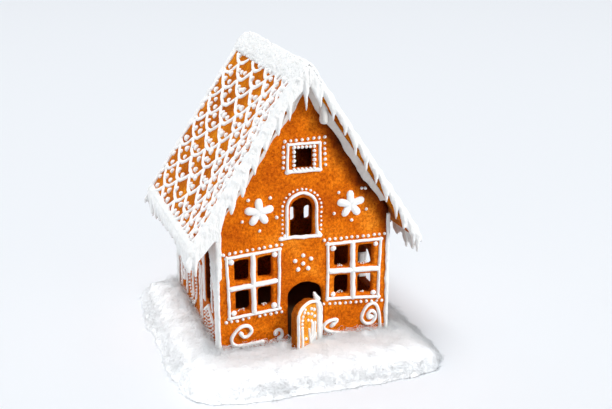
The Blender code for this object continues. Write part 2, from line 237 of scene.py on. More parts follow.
def bead_section(width, height, sides):
    """Half an ellipse over the surface, with its foot sunk into it."""
    section = []
    for i in range(sides):
        turn = math.pi * i / (sides - 1)
        section.append((width / 2 * math.cos(turn), height * math.sin(turn) ** 0.85))
    foot = -SUNK / MM
    return [(width * 0.47, foot), *section, (-width * 0.47, foot)]


def bead(skin, surface, points, width, height, draw, closed=False, smooth=True, wobble=0.12, sides=6, ends=1.0):
    """A piped line, its width uneven and its ends round. ends above 1 swells them."""
    step = max(0.45, width * 0.36)
    places = through(points, step, closed, smooth)
    seed = draw.uniform(0, 1000)
    count = len(places)
    rings = []
    for i, place in enumerate(places):
        ahead = places[(i + 1) % count] if closed else places[min(i + 1, count - 1)]
        behind = places[i - 1] if closed or i else places[0]
        along = ahead - behind
        along = along.normalized() if along.length else Vector((1, 0, 0))
        across = Vector((-along.y, along.x, 0))
        reach = i * step
        wide = width * (1 + wobble * noise.noise((reach * 0.35, seed, 0)) * 1.6)
        tall = height * (1 + wobble * noise.noise((reach * 0.4, seed, 9)) * 1.6)
        if not closed:
            edge = min(i, count - 1 - i) * step
            if edge < width * 1.2:
                wide *= 1 + (ends - 1) * (1 - edge / (width * 1.2))
        sway = across * wobble * width * noise.noise((reach * 0.18, seed, 5))
        rings.append((place + sway, across, along, wide, tall))
    skins = []
    if not closed:
        place, across, along, wide, tall = rings[0]
        for share in (0.97, 0.7):
            shrink = math.sqrt(max(0.0, 1 - share**2))
            skins.append((place - along * wide / 2 * share, across, wide * shrink, tall * max(shrink, 0.3)))
    for place, across, along, wide, tall in rings:
        skins.append((place, across, wide, tall))
    if not closed:
        place, across, along, wide, tall = rings[-1]
        for share in (0.7, 0.97):
            shrink = math.sqrt(max(0.0, 1 - share**2))
            skins.append((place + along * wide / 2 * share, across, wide * shrink, tall * max(shrink, 0.3)))
    made = []
    for place, across, wide, tall in skins:
        ring = []
        for u, v in bead_section(wide, tall, sides):
            flat = place + across * u
            ring.append(surface(flat.x, flat.y, v))
        made.append(ring)
    skin.rings(made, closed=closed)


def dot(skin, surface, place, width, draw, height=0.72, sides=10):
    """A piped dot: a low dome, a little uneven, with the faint peak that the nozzle leaves."""
    wide = width * draw.uniform(0.9, 1.1)
    tall = wide * height * draw.uniform(0.85, 1.12)
    stretch = 1 + draw.uniform(-0.09, 0.09)
    turn = draw.uniform(0, math.pi)
    lean = (draw.uniform(-0.08, 0.08) * wide, draw.uniform(-0.08, 0.08) * wide)
    rings = []
    for level, share in ((-SUNK / MM, 0.94), (0.0, 1.0), (0.32, 0.98), (0.62, 0.82), (0.84, 0.58), (0.96, 0.3)):
        ring = []
        for i in range(sides):
            angle = 2 * math.pi * i / sides
            u, v = math.cos(angle) * stretch, math.sin(angle) / stretch
            u, v = u * math.cos(turn) - v * math.sin(turn), u * math.sin(turn) + v * math.cos(turn)
            rise = max(level, 0.0)
            out = level if level < 0 else level * tall
            a = place[0] + wide / 2 * share * u + lean[0] * rise
            b = place[1] + wide / 2 * share * v + lean[1] * rise
            ring.append(surface(a, b, out))
        rings.append(ring)
    skin.rings(rings, tip=surface(place[0] + lean[0], place[1] + lean[1], tall))


def dots(skin, surface, start, end, count, width, draw, missing=(), stray=0.25):
    """A row of dots, evenly spaced but for the hand's unsteadiness."""
    for i in range(count):
        if i in missing:
            continue
        share = i / (count - 1)
        a = start[0] + (end[0] - start[0]) * share + draw.uniform(-stray, stray)
        b = start[1] + (end[1] - start[1]) * share + draw.uniform(-stray, stray)
        dot(skin, surface, (a, b), width, draw)


# Procedural materials.
class Nodes:
    """Adds nodes to a material in few words."""

    def __init__(self, name):
        self.material = bpy.data.materials.new(name)
        self.material.use_nodes = True
        self.tree = self.material.node_tree
        self.shader = self.tree.nodes["Principled BSDF"]
        self.coordinates = self.new("ShaderNodeTexCoord")
        self.place = self.coordinates.outputs["Object"]

    def new(self, kind, **settings):
        made = self.tree.nodes.new(kind)
        for key, value in settings.items():
            setattr(made, key, value)
        return made

    def link(self, out, into):
        self.tree.links.new(out, into)

    def noise(self, size, detail=4.0, roughness=0.55, stretch=None):
        """Noise whose features are about size across, in metres."""
        made = self.new("ShaderNodeTexNoise")
        made.inputs["Scale"].default_value = 1 / size
        made.inputs["Detail"].default_value = detail
        made.inputs["Roughness"].default_value = roughness
        source = self.place
        if stretch:
            mapping = self.new("ShaderNodeMapping")
            mapping.inputs["Scale"].default_value = stretch
            self.link(self.place, mapping.inputs["Vector"])
            source = mapping.outputs["Vector"]
        self.link(source, made.inputs["Vector"])
        return made.outputs["Fac"]

    def cells(self, size, feature="F1"):
        made = self.new("ShaderNodeTexVoronoi", feature=feature)
        made.inputs["Scale"].default_value = 1 / size
        self.link(self.place, made.inputs["Vector"])
        return made.outputs["Distance"]

    def ramp(self, value, *stops):
        """Colours or greys at places from 0 to 1."""
        made = self.new("ShaderNodeValToRGB")
        ramp = made.color_ramp
        while len(ramp.elements) < len(stops):
            ramp.elements.new(0.5)
        for element, (place, colour) in zip(ramp.elements, stops):
            element.position = place
            element.color = (*colour, 1) if isinstance(colour, tuple) else (colour, colour, colour, 1)
        self.link(value, made.inputs["Fac"])
        return made.outputs["Color"]

    def mix(self, share, one, two, blend="MIX"):
        made = self.new("ShaderNodeMix", data_type="RGBA", blend_type=blend)
        sockets = [s for s in made.inputs if s.type in ("RGBA",)]
        for value, socket in ((share, made.inputs["Factor"]), (one, sockets[0]), (two, sockets[1])):
            if isinstance(value, bpy.types.NodeSocket):
                self.link(value, socket)
            elif isinstance(value, tuple):
                socket.default_value = (*value, 1)
            else:
                socket.default_value = value
        return [s for s in made.outputs if s.type == "RGBA"][0]

    def sums(self, kind, one, two):
        made = self.new("ShaderNodeMath", operation=kind)
        for value, socket in zip((one, two), made.inputs):
            if isinstance(value, bpy.types.NodeSocket):
                self.link(value, socket)
            else:
                socket.default_value = value
        return made.outputs["Value"]

    def bump(self, *layers):
        """Each layer is (height from 0 to 1, depth in metres)."""
        normal = None
        for height, depth in layers:
            made = self.new("ShaderNodeBump")
            made.inputs["Distance"].default_value = depth
            self.link(height, made.inputs["Height"])
            if normal:
                self.link(normal, made.inputs["Normal"])
            normal = made.outputs["Normal"]
        self.link(normal, self.shader.inputs["Normal"])


WHITE = (1.0, 1.0, 1.0)


def painted_overhang_shade(make):
    """Painted shade under the roof's overhang: the dough darkens near the roof, nearly black at its edge on the
    right, hardly at all on the left.
    """
    split = make.new("ShaderNodeSeparateXYZ")
    make.link(make.place, split.inputs["Vector"])
    fall = make.sums("MULTIPLY", make.sums("ABSOLUTE", split.outputs["X"], 0.0), math.tan(ROOF_PITCH))
    peak = ROOF_HIGH.z - BISCUIT / math.cos(ROOF_PITCH)
    below = make.sums("SUBTRACT", peak, make.sums("ADD", fall, split.outputs["Z"]))
    ragged = make.sums("MULTIPLY", make.sums("SUBTRACT", make.noise(0.012, 4.0), 0.5), 0.022)
    share = make.sums("DIVIDE", make.sums("ADD", below, ragged), 0.045)
    shade_tone = make.ramp(share, (0.12, (0.07, 0.04, 0.03)), (0.30, (0.34, 0.24, 0.2)), (0.56, WHITE))
    # The painted shade is kept to the right, where the roof's overhang shades the gable.
    right = make.sums("DIVIDE", make.sums("ADD", split.outputs["X"], 0.03), 0.06)
    return make.mix(make.ramp(right, (0.25, 0.12), (0.8, 1.0)), WHITE, shade_tone)


def painted_cut_face_shade(make, face, shade_tone):
    """Painted shade on the dough's cut faces, those that look another way than its broad ones, as in the window
    openings and on the door's edges.
    """
    facing = make.new("ShaderNodeVectorMath", operation="DOT_PRODUCT")
    make.link(make.coordinates.outputs["Normal"], facing.inputs[0])
    facing.inputs[1].default_value = face
    return make.ramp(make.sums("ABSOLUTE", facing.outputs["Value"], 0.0), (0.35, shade_tone), (0.75, WHITE))


def gingerbread(name, patches, overhang_shade=False, cut_face_shade=None):
    """Baked dough: mottled orange-brown with pores and fine crumb.

    patches are its deep, usual and pale colours. With overhang shade, it gets painted shade under the roof's
    sloping edges, darkest on the right.
    The last argument, if any, is the way its broad faces look and the colour of the painted shade on its cut
    faces.
    """
    make = Nodes(name)
    deep, usual, pale = patches
    colour = make.ramp(make.noise(0.022, 3.0), (0.30, deep), (0.52, usual), (0.75, pale))
    fine = make.noise(0.0016, 5.0, 0.7)
    grain = make.ramp(fine, (0.30, (0.50, 0.36, 0.30)), (0.5, WHITE), (0.70, (1.4, 1.75, 2.2)))
    colour = make.mix(1.0, colour, grain, "MULTIPLY")
    # Painted shade where the roof's overhang shades the gables.
    if overhang_shade:
        colour = make.mix(1.0, colour, painted_overhang_shade(make), "MULTIPLY")
    # Painted shade on the cut faces, which look another way than the broad ones.
    if cut_face_shade:
        colour = make.mix(1.0, colour, painted_cut_face_shade(make, *cut_face_shade), "MULTIPLY")
    pores = make.ramp(make.cells(0.0031), (0.05, 0.0), (0.16, 1.0))
    gate = make.ramp(make.noise(0.006, 2.0), (0.52, 1.0), (0.60, 0.0))
    pores = make.mix(1.0, pores, gate, "LIGHTEN")
    colour = make.mix(1.0, colour, make.ramp(pores, (0.0, (0.55, 0.42, 0.35)), (1.0, WHITE)), "MULTIPLY")
    make.link(colour, make.shader.inputs["Base Color"])
    make.link(make.ramp(fine, (0.2, 0.62), (0.8, 0.8)), make.shader.inputs["Roughness"])
    make.shader.inputs["Specular IOR Level"].default_value = 0.04
    make.bump((make.noise(0.0045, 3.0), 0.0004), (make.noise(0.0011, 4.0, 0.65), 0.00022), (pores, 0.00025))
    return make.material


def royal_icing(name, pitted=0.0, streaks=0.0, tone=WHITE):
    """Dried sugar icing: white, nearly matt, a little translucent, with a grain like fine plaster.

    pitted is the depth of small pits, and streaks that of upright runs, in metres. tone makes the white
    brighter or duller.
    """
    make = Nodes(name)
    low = tuple(a * b for a, b in zip((0.81, 0.815, 0.805), tone))
    high = tuple(a * b for a, b in zip((0.875, 0.88, 0.875), tone))
    colour = make.ramp(make.noise(0.009, 3.0), (0.3, low), (0.7, high))
    make.link(colour, make.shader.inputs["Base Color"])
    make.link(make.ramp(make.noise(0.003, 3.0), (0.3, 0.42), (0.7, 0.58)), make.shader.inputs["Roughness"])
    make.shader.inputs["Specular IOR Level"].default_value = 0.25
    make.shader.inputs["Subsurface Weight"].default_value = 0.12
    make.shader.inputs["Subsurface Radius"].default_value = (1.0, 0.9, 0.8)
    make.shader.inputs["Subsurface Scale"].default_value = 0.0012
    layers = [(make.noise(0.0035, 3.0), 0.0005), (make.noise(0.0012, 3.0), 0.00014)]
    if pitted:
        layers.append((make.ramp(make.cells(0.0017), (0.1, 0.0), (0.5, 1.0)), pitted))
    if streaks:
        layers.append((make.noise(0.0021, 3.0, 0.5, (1, 1, 0.3)), streaks))
    make.bump(*layers)
    return make.material


def cotton_wool():
    """Matt white fibre, so loose that light spreads a little way into it."""
    make = Nodes("cotton_wool")
    colour = make.ramp(make.noise(0.012, 5.0), (0.3, (0.945, 0.965, 0.98)), (0.7, (0.965, 0.98, 0.99)))
    make.link(colour, make.shader.inputs["Base Color"])
    make.shader.inputs["Roughness"].default_value = 1.0
    make.shader.inputs["Specular IOR Level"].default_value = 0.1
    make.shader.inputs["Sheen Weight"].default_value = 0.4
    make.shader.inputs["Sheen Roughness"].default_value = 0.6
    make.shader.inputs["Subsurface Weight"].default_value = 0.3
    make.shader.inputs["Subsurface Radius"].default_value = (1.0, 1.0, 1.0)
    make.shader.inputs["Subsurface Scale"].default_value = 0.0008
    make.bump((make.noise(0.006, 6.0, 0.7), 0.0007), (make.noise(0.0012, 5.0, 0.7, (1, 1, 3)), 0.0002))
    return make.material


def cardboard():
    """Plain dark brown board with a faint grain."""
    make = Nodes("board")
    colour = make.ramp(make.noise(0.0015, 4.0), (0.3, (0.17, 0.095, 0.045)), (0.7, (0.25, 0.15, 0.08)))
    make.link(colour, make.shader.inputs["Base Color"])
    make.shader.inputs["Roughness"].default_value = 0.7
    make.bump((make.noise(0.0009, 3.0, 0.5, (1, 0.2, 1)), 0.00008))
    return make.material


ROOF_DOUGH = ((0.36, 0.074, 0.001), (0.50, 0.130, 0.002), (0.66, 0.215, 0.005))
SIDE_DOUGH = ((0.36, 0.062, 0.002), (0.50, 0.11, 0.004), (0.62, 0.17, 0.012))
GABLE_DOUGH = ((0.50, 0.086, 0.002), (0.68, 0.145, 0.003), (0.84, 0.24, 0.014))
DOOR_DOUGH = ((0.62, 0.18, 0.008), (0.80, 0.30, 0.024), (0.92, 0.44, 0.07))
DOOR_LOOKS = (math.sin(DOOR_SWING), -math.cos(DOOR_SWING), 0)

ROOF_GINGER = gingerbread("gingerbread_roof", ROOF_DOUGH)
# The side walls and the door carry painted shade on their cut faces.
SIDE_GINGER = gingerbread("gingerbread_side", SIDE_DOUGH, cut_face_shade=((1, 0, 0), (0.2, 0.12, 0.09)))
# The gables carry painted shade under the roof's overhang.
GABLE_GINGER = gingerbread("gingerbread_gable", GABLE_DOUGH, overhang_shade=True)
DOOR_GINGER = gingerbread("gingerbread_door", DOOR_DOUGH, cut_face_shade=(DOOR_LOOKS, (0.42, 0.26, 0.2)))
ICING = royal_icing("icing", tone=(1.07, 1.065, 1.07))
ROUGH_ICING = royal_icing("icing_dabbed", pitted=0.0003)
RUN_ICING = royal_icing("icing_run", streaks=0.0007)
# Icing under the roof's edges is a duller white: painted shade where the overhang shades it.
SHADED_SEAM_ICING = royal_icing("icing_seam", tone=(0.8, 0.775, 0.75))
WOOL = cotton_wool()
CARD = cardboard()


# Shaping with modifiers.
def texture(name, size):
    made = bpy.data.textures.new(name, "CLOUDS")
    made.noise_scale = size
    made.noise_depth = 3
    return made


def roughened(obj, voxel, rounds, bumps, keep=1.0, weld=False):
    """Rounds an object's edges by remeshing, and gives its surface an uneven relief.

    bumps lists (size, depth) in metres, and keep is the share of triangles left at the end.
    """
    if weld:
        obj.modifiers.new("weld", "WELD").merge_threshold = 0.00001
    remesh = obj.modifiers.new("remesh", "REMESH")
    remesh.mode = "VOXEL"
    remesh.voxel_size = voxel
    remesh.use_smooth_shade = True
    smooth = obj.modifiers.new("smooth", "SMOOTH")
    smooth.factor = 0.5
    smooth.iterations = rounds
    for size, depth in bumps:
        relief = obj.modifiers.new("relief", "DISPLACE")
        relief.texture = texture(f"relief_{obj.name}_{size}", size)
        relief.texture_coords = "GLOBAL"
        relief.strength = depth
        relief.mid_level = 0.5
    if keep < 1:
        fewer = obj.modifiers.new("fewer", "DECIMATE")
        fewer.ratio = keep


def settled(obj):
    """Gives the object the mesh that its modifiers make, and removes them."""
    graph = bpy.context.evaluated_depsgraph_get()
    mesh = bpy.data.meshes.new_from_object(obj.evaluated_get(graph))
    obj.modifiers.clear()
    obj.data = mesh
    mesh.shade_smooth()


def node_body(node):
    """(points, faces) of a CAD node."""
    mesh = frame["nodes"][node].data
    return [v.co.copy() for v in mesh.vertices], [tuple(p.vertices) for p in mesh.polygons]


# The baked pieces stay the CAD's own, with softened edges and an uneven surface.
def bake():
    baked = {
        "front_wall": GABLE_GINGER,
        "back_wall": GABLE_GINGER,
        "left_wall": SIDE_GINGER,
        "right_wall": SIDE_GINGER,
        "roof_left": ROOF_GINGER,
        "roof_right": ROOF_GINGER,
        "door": DOOR_GINGER,
    }
    for node, material in baked.items():
        obj = frame["nodes"][node]
        obj.data.materials.clear()
        obj.data.materials.append(material)
        roughened(obj, 1.0 * MM, 3, ((0.007, 0.5 * MM), (0.0022, 0.22 * MM)), keep=0.28, weld=True)


# Icing along the roof.
def roof_line(x):
    """Height over the snow, in millimetres, of the roof's upper surface at x."""
    return (ROOF_HIGH.z - SNOW_TOP) / MM - abs(x) * math.tan(ROOF_PITCH)


# Drips of the icing on the front gable's roof edges. Each is the distance of its tip from the ridge, and how far
# the notch before it, its side and its tip hang below the roof.
FRONT_LEFT_DRIPS = (
    (1.4, 21, 24, 28), (12.5, 12, 9, 17.5), (20, 5, 13, 15), (28.5, 6.5, 11.5, 12.5), (36, 3.5, 13, 15.5),
    (44, 5, 16, 17), (51.5, 7, 16, 16.5), (61, 7, 17, 20), (75.8, 16, 12, 19), (79.5, 6.5, 8, 10.5),
)
FRONT_RIGHT_DRIPS = (
    (8.2, 12.5, 15.5, 16.5), (16.7, 6.5, 9.5, 13), (24.8, 6, 8, 11), (32.2, 5.5, 10, 13.5), (39.7, 5, 9, 13.5),
    (47, 4, 8.5, 12), (54.8, 4.5, 11, 13.5), (62, 5, 10, 15), (68, 4.5, 10.5, 14), (75.4, 10, 10, 15),
    (78.6, 6.5, 9, 15),
)
EDGE_END = 82.0  # how far the icing on a roof edge reaches from the ridge, measured level
BLUNT = 0.35  # half the width of a tip


def level_at(points, place):
    """The value at a place on a line through (place, value) points."""
    for (x1, z1), (x2, z2) in zip(points, points[1:]):
        if x1 <= place <= x2:
            return z1 + (z2 - z1) * (place - x1) / (x2 - x1)
    return points[0][1] if place < points[0][0] else points[-1][1]


def chance_drips(draw):
    """Where the first notch is, and the drips, for a gable whose icing has no two drips alike."""
    start = place = draw.uniform(3, 5)
    drips = []
    while place < 72:
        notch = draw.uniform(5.2, 7.0)
        place += draw.uniform(6.6, 9.2)
        drips.append((place - 1.05, notch, draw.uniform(8.6, 10.2), draw.uniform(12.5, 15.5)))
    if place < 77:
        drips.append((78.5, 6, 9.5, 11))
    return start, drips


def teeth(side, start, drips, lean, gap):
    """The lower edge of icing that hangs in drips, as (x, height over the snow) points in order of x.

    start is where the first notch is. Each side stops lean short of its tip, and the next notch is gap beyond.
    """
    points = [(0.0, roof_line(0) - 20)]
    place = start
    for tip, notch, slant, hang in drips:
        points.append((place, roof_line(place) - notch))
        if tip - lean > place:
            points.append((tip - lean, roof_line(tip - lean) - slant))
        low = roof_line(tip) - hang
        points += [(tip - BLUNT, low), (tip + BLUNT, low)]
        place = tip + gap
    points += [(place, roof_line(place) - 5.5), (EDGE_END, roof_line(EDGE_END) - 4)]
    return sorted((side * a, b) for a, b in points)


def gable_edge(side, end, edge_points, laps):
    """Icing over one sloping edge of the roof: a band folded onto it, and teeth that hang down its face."""
    skin = Skin()
    away = (-1, 1)[end]
    edge = ROOF_Y[end]
    length = ROOF_SLOPE / MM
    steps = 70
    rings = []
    for step in range(steps + 1):
        down = 1.5 + (length + 0.6) * step / steps
        lap = level_at(laps, down)
        lap += 1.3 * noise.noise((down * 0.16, side * 3.0, end * 7.0))
        lap += 0.9 * noise.noise((down * 0.5, side * 3.0, end * 4.0))
        thick = 1.9 + 0.9 * noise.noise((down * 0.17, side * 5.0, 3.0))
        # How far forward of the roof's face, and how far out of its slope.
        profile = (
            (-lap, -0.2),
            (-lap * 0.9, 0.8),
            (-lap * 0.5, thick),
            (-0.6, thick),
            (1.6, thick * 0.6),
            (2.4, -0.9),
            (2.2, -2.4),
            (-0.3, -2.4),
            (-0.3, -0.2),
        )
        ring = []
        for forward, out in profile:
            point = slope(side)(0, down, out)
            ring.append(Vector((point.x, edge + away * forward * MM, point.z)))
        rings.append(ring)
    skin.rings(rings)
    rings = []
    x, last = edge_points[0][0], edge_points[-1][0]
    while x <= last:
        high = min(roof_line(x) + 0.4, roof_line(0) - 3.4 - 0.2 * abs(x))
        low = level_at(edge_points, x)
        wave = 0.5 * noise.noise((x * 0.35, side * 2.0, end * 9.0))
        tall = high - low
        # How far forward of the roof's face, and the height over the snow.
        profile = (
            (-0.3, high),
            (1.2, high + 0.5),
            (2.7 + wave, high - 1.6),
            (2.6 + wave, high - tall * 0.5),
            (2.1 + wave, low + 1.2),
            (1.3, low),
            (0.4, low + 0.2),
            (-0.3, low + tall * 0.3),
        )
        ring = []
        for forward, z in profile:
            ring.append(Vector((x * MM, edge + away * forward * MM, SNOW_TOP + z * MM)))
        rings.append(ring)
        x += 0.4
    skin.rings(rings)
    return skin


def iced(name, skin, replaced, voxel, rounds, bumps, keep, dabs=None, icing=None):
    """Turns overlapping bodies into one lump of icing. dabs is the (size, depth) of pits all over it."""
    mesh = outwards(skin.mesh(name))
    obj = bpy.data.objects.new(name, mesh)
    bpy.context.scene.collection.objects.link(obj)
    relief = [(size, depth * MM) for size, depth in bumps]
    roughened(obj, voxel * MM, rounds, relief, 1.0 if dabs else keep)
    settled(obj)
    if dabs:
        size, depth = dabs
        normals = [v.normal.copy() for v in obj.data.vertices]
        for vertex, normal in zip(obj.data.vertices, normals):
            near = noise.voronoi(vertex.co / (size * MM))[0][0]
            lump = noise.noise(vertex.co / (size * 0.8 * MM))
            vertex.co += normal * depth * MM * (0.45 - math.exp(-((near / 0.36) ** 2)) + 0.5 * lump)
        obj.modifiers.new("fewer", "DECIMATE").ratio = keep
        settled(obj)
    made = obj.data
    bpy.data.objects.remove(obj)
    return put(name, made, icing or (ROUGH_ICING if dabs else RUN_ICING), replaced)


# How far the icing on a roof edge reaches in over the roof, by distance from the ridge.
FRONT_LAPS = ((0, 11.5), (20, 11.0), (50, 8.6), (90, 7.4), (120, 6.6), (132, 5.0), (141, 2.5))
BACK_LAPS = ((0, 6.5), (60, 4.6), (141, 2.8))


def roof_edges():
    draw = random.Random(21)
    front_teeth = (teeth(-1, 0.6, FRONT_LEFT_DRIPS, 1.8, 2.2), teeth(1, 0.6, FRONT_RIGHT_DRIPS, 1.3, 1.1))
    for hand, side in enumerate((-1, 1)):
        name = ("left", "right")[hand]
        skin = gable_edge(side, 0, front_teeth[hand], FRONT_LAPS)
        edge_icing(f"front_{name}", skin)
        start, drips = chance_drips(draw)
        skin = gable_edge(side, 1, teeth(side, start, drips, 1.35, 1.05), BACK_LAPS)
        edge_icing(f"back_{name}", skin)


def edge_icing(name, skin):
    bumps = ((0.006, 1.0), (0.002, 0.5))
    iced(f"edge_{name}", skin, (f"icing_gable_{name}",), voxel=0.5, rounds=2, bumps=bumps, keep=0.42)


# Drips of the icing along the eaves. Each is the distance of its tip from the front gable's face, the tip's height
# over the snow, and the edge's height halfway to the next one.
EAVE_DRIPS = (
    (4, 57, 62.5), (13.5, 55.5, 64.5), (29.5, 59, 68), (43, 63, 68), (56.5, 63, 67), (70, 64, 64.5),
    (77, 62, 66.5), (92, 61.5, 67), (104.5, 61, 66), (118, 59, 66.5), (137.5, 55, 64.5),
)


def eave_edge():
    """The lower edge of that icing, as (distance, height) points."""
    ends = [tip for tip, _, _ in EAVE_DRIPS[1:]] + [148]
    points = [(-8, 61.5), (-4, 62.5), (1, 60.5)]
    for (tip, low, crest), after in zip(EAVE_DRIPS, ends):
        points += [(tip - 1, low), (tip + 1, low), ((tip + after) / 2, crest)]
    return points


def eaves():
    """Icing folded over the lower edges of the roof, which hangs from them in a curtain of drips."""
    edge = eave_edge()
    end = ROOF_SLOPE / MM
    first, last = (ROOF_Y[0] - FRONT_Y) / MM - 1.2, (ROOF_Y[1] - FRONT_Y) / MM + 0.6
    for side, hand in ((-1, "left"), (1, "right")):
        skin = Skin()
        place = slope(side)
        rings, folds = [], []
        a = first
        while a <= last:
            wave = noise.noise((a * 0.32, side * 4.0, 1.0))
            lap = 5.2 + 1.5 * noise.noise((a * 0.15, side, 8.0)) + 0.8 * wave
            thick = 2.0 + 0.6 * noise.noise((a * 0.2, side, 11.0))
            # How far down the slope, and how far out of it.
            fold = (
                (end - lap, -0.2),
                (end - lap * 0.85, thick * 0.7),
                (end - 0.8, thick),
                (end + 1.8, 0.2),
                (end + 1.6, -3.0),
                (end - 0.3, -3.0),
                (end - 0.3, -0.2),
            )
            folds.append([place(a, down, out) for down, out in fold])
            # The right eave's drips are nearer each other, so that the two sides differ.
            shift = a if side < 0 else a * 0.93 + 5.3
            low = level_at(edge, shift) + 0.7 * noise.noise((a * 0.5, side * 3.0, 6.0))
            x = 77.9 + 0.9 * wave + 0.5 * noise.noise((a * 0.8, side, 2.0))
            top = 71.0
            curtain = (
                (x - 0.6, top + 3.0),
                (x + 1.2, top + 2.6),
                (x + 1.9, top),
                (x + 1.7, (top + low) / 2),
                (x + 1.2, low + 1.4),
                (x + 0.4, low),
                (x - 0.5, low + 0.6),
                (x - 1.0, (top + low) / 2),
                (x - 2.0, top),
            )
            y = FRONT_Y + a * MM
            rings.append([Vector((side * out * MM, y, SNOW_TOP + z * MM)) for out, z in curtain])
            a += 0.5
        skin.rings(folds)
        skin.rings(rings)
        bumps = ((0.005, 0.8), (0.0018, 0.5))
        iced(f"eave_{hand}", skin, (f"icing_eave_{hand}",), voxel=0.55, rounds=2, bumps=bumps, keep=0.38)


# Height of the ridge icing's crown over the roof's peak, and its thickness on the slopes, from front to back.
RIDGE_CROWN = (
    (-9, 0.2), (0, 1.0), (30, 1.2), (55, 2.1), (77, 2.7),
    (97, 3.5), (110, 4.6), (130, 3.9), (140, 2.6), (149, 0.2),
)
RIDGE_THICK = ((-9, 1.7), (20, 2.0), (60, 2.4), (100, 3.0), (149, 3.0))


def ridge():
    """The thick saddle over the ridge, dabbed so that it is pitted all over."""
    skin = Skin()
    low_y, high_y = ROOF_Y[0] - 2.2 * MM, ROOF_Y[1] + 1.5 * MM
    steps = 90
    rings = []
    for step in range(steps + 1):
        y = low_y + (high_y - low_y) * step / steps
        a = (y - FRONT_Y) / MM
        fade = min(1.0, 0.55 + min(step, steps - step) / steps * 12)
        halves = []
        for side in (1, -1):
            reach = 16.8 - 3.8 * (a / 146)
            reach += 1.5 * noise.noise((a * 0.12, side * 3.0, 0.0))
            reach += 2.6 * noise.noise((a * 0.42, side * 3.0, 4.0))
            thick = (level_at(RIDGE_THICK, a) + 0.7 * noise.noise((a * 0.16, side * 6.0, 2.0))) * fade
            profile = (
                (reach, -0.3),
                (reach - 0.3, thick * 0.5),
                (reach * 0.72, thick * 0.95),
                (reach * 0.36, thick),
                (3.2, thick * 0.85),
            )
            halves.append([slope(side)(a, down, out) for down, out in profile])
        rise = level_at(RIDGE_CROWN, a) + 0.5 * noise.noise((a * 0.2, 1.0, 5.0))
        crown = Vector((0, y, ROOF_HIGH.z + rise * MM))
        foot = Vector((0, y, slope(1)(a, 0, -0.8).z))
        rings.append([*halves[0], crown, *reversed(halves[1]), foot])
    skin.rings(rings)
    bumps = ((0.008, 1.5),)
    iced("ridge", skin, ("icing_ridge",), voxel=0.5, rounds=2, bumps=bumps, keep=0.45, dabs=(2.2, 0.9))


# How far corner icing reaches along the side walls at each height over the snow.
CORNER_REACH = ((0, 6.5), (30, 7.5), (40, 9.5), (50, 13.5), (60, 17.0), (72, 20.0))
# How far the icing under the roof's edges comes down the gables, by distance from the ridge.
SEAM_REACH = (
    (8, 4.5), (22, 4.6), (30, 5.6), (38, 5.0), (51, 3.6), (57, 3.4),
    (64, 4.5), (76, 4.1), (88, 5.0), (95, 3.6), (107, 2.8), (118, 3.8),
)


def joints():
    """Icing squeezed out of the corners and along the tops of the gables."""
    for side, hand in ((-1, "left"), (1, "right")):
        for end, where in enumerate(("front", "back")):
            corner(side, end, f"{where}_{hand}")
            seam(side, end, f"{where}_{hand}")


def corner(side, end, name):
    """Icing up an upright corner. It spreads on the side wall, most of all near the roof."""
    node = f"icing_corner_{name}"
    away = (-1, 1)[end]
    face = (FRONT_Y, BACK_Y)[end]
    low, high = SNOW_TOP - 1.0 * MM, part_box(node)[1].z + 1.0 * MM
    skin = Skin()
    steps = 46
    rings = []
    for step in range(steps + 1):
        z = low + (high - low) * step / steps
        h = (z - SNOW_TOP) / MM
        gable_reach = 2.6 + 0.9 * noise.noise((h * 0.12, side * 2.0, end * 3.0))
        side_reach = level_at(CORNER_REACH, h) + 1.4 * noise.noise((h * 0.1, side * 5.0, end * 3.0))
        if end == 0 and side > 0:
            gable_reach -= 0.9
        elif end == 0:
            gable_reach += 0.9 if h > 50 else -1.2 + 1.8 * max(0.0, 1 - h / 9)
        thick = 1.5 + 0.4 * noise.noise((h * 0.2, side, end))
        # How far out from the side wall's face, and how far in from the gable's.
        profile = (
            (-gable_reach, 0.15),
            (-gable_reach * 0.8, -thick * 0.9),
            (0.2, -thick),
            (thick, -0.2),
            (thick * 0.55, side_reach * 0.25),
            (thick * 1.15, side_reach * 0.42),
            (thick * 0.5, side_reach * 0.6),
            (thick, side_reach * 0.8),
            (0.15, side_reach),
            (-0.4, side_reach * 0.8),
            (-0.4, 0.4),
        )
        ring = []
        for out, deep in profile:
            ring.append(Vector((side * (HALF_WIDTH + out * MM), face - away * deep * MM, z)))
        rings.append(ring)
    skin.rings(rings)
    iced(f"corner_{name}", skin, (node,), voxel=0.5, rounds=3, bumps=((0.004, 0.7), (0.0016, 0.35)), keep=0.4)


def seam(side, end, name):
    """Icing in the angle between the roof and a gable. A drop of it has run down on the right in front."""
    away = (-1, 1)[end]
    face = (FRONT_Y, BACK_Y)[end]
    under = -BISCUIT / MM + 0.2
    skin = Skin()
    steps = 60
    rings = []
    for step in range(steps + 1):
        down = 9 + 101 * step / steps
        leg = level_at(SEAM_REACH, down) + 0.5 * noise.noise((down * 0.3, side * 3.0, end * 2.0))
        # How far forward of the gable's face, and how far out of the roof's slope.
        profile = (
            (-0.3, under),
            (6.4, under),
            (4.6, under - 1.3),
            (2.6, under - leg * 0.7),
            (1.3, under - leg),
            (-0.3, under - leg),
        )
        ring = []
        for forward, out in profile:
            point = slope(side)(0, down, out)
            ring.append(Vector((point.x, face + away * forward * MM, point.z)))
        rings.append(ring)
    skin.rings(rings)
    if end == 0 and side > 0:
        drop(skin, Vector((11.7, FRONT_Y / MM - 4.4, SNOW_TOP / MM + 149.8)), 21.0, 6.4)
    bumps = ((0.004, 0.8), (0.0016, 0.3))
    node = f"icing_seam_{name}"
    # Its duller white is painted shade from the roof's overhang.
    iced(f"seam_{name}", skin, (node,), voxel=0.5, rounds=3, bumps=bumps, keep=0.45, icing=SHADED_SEAM_ICING)


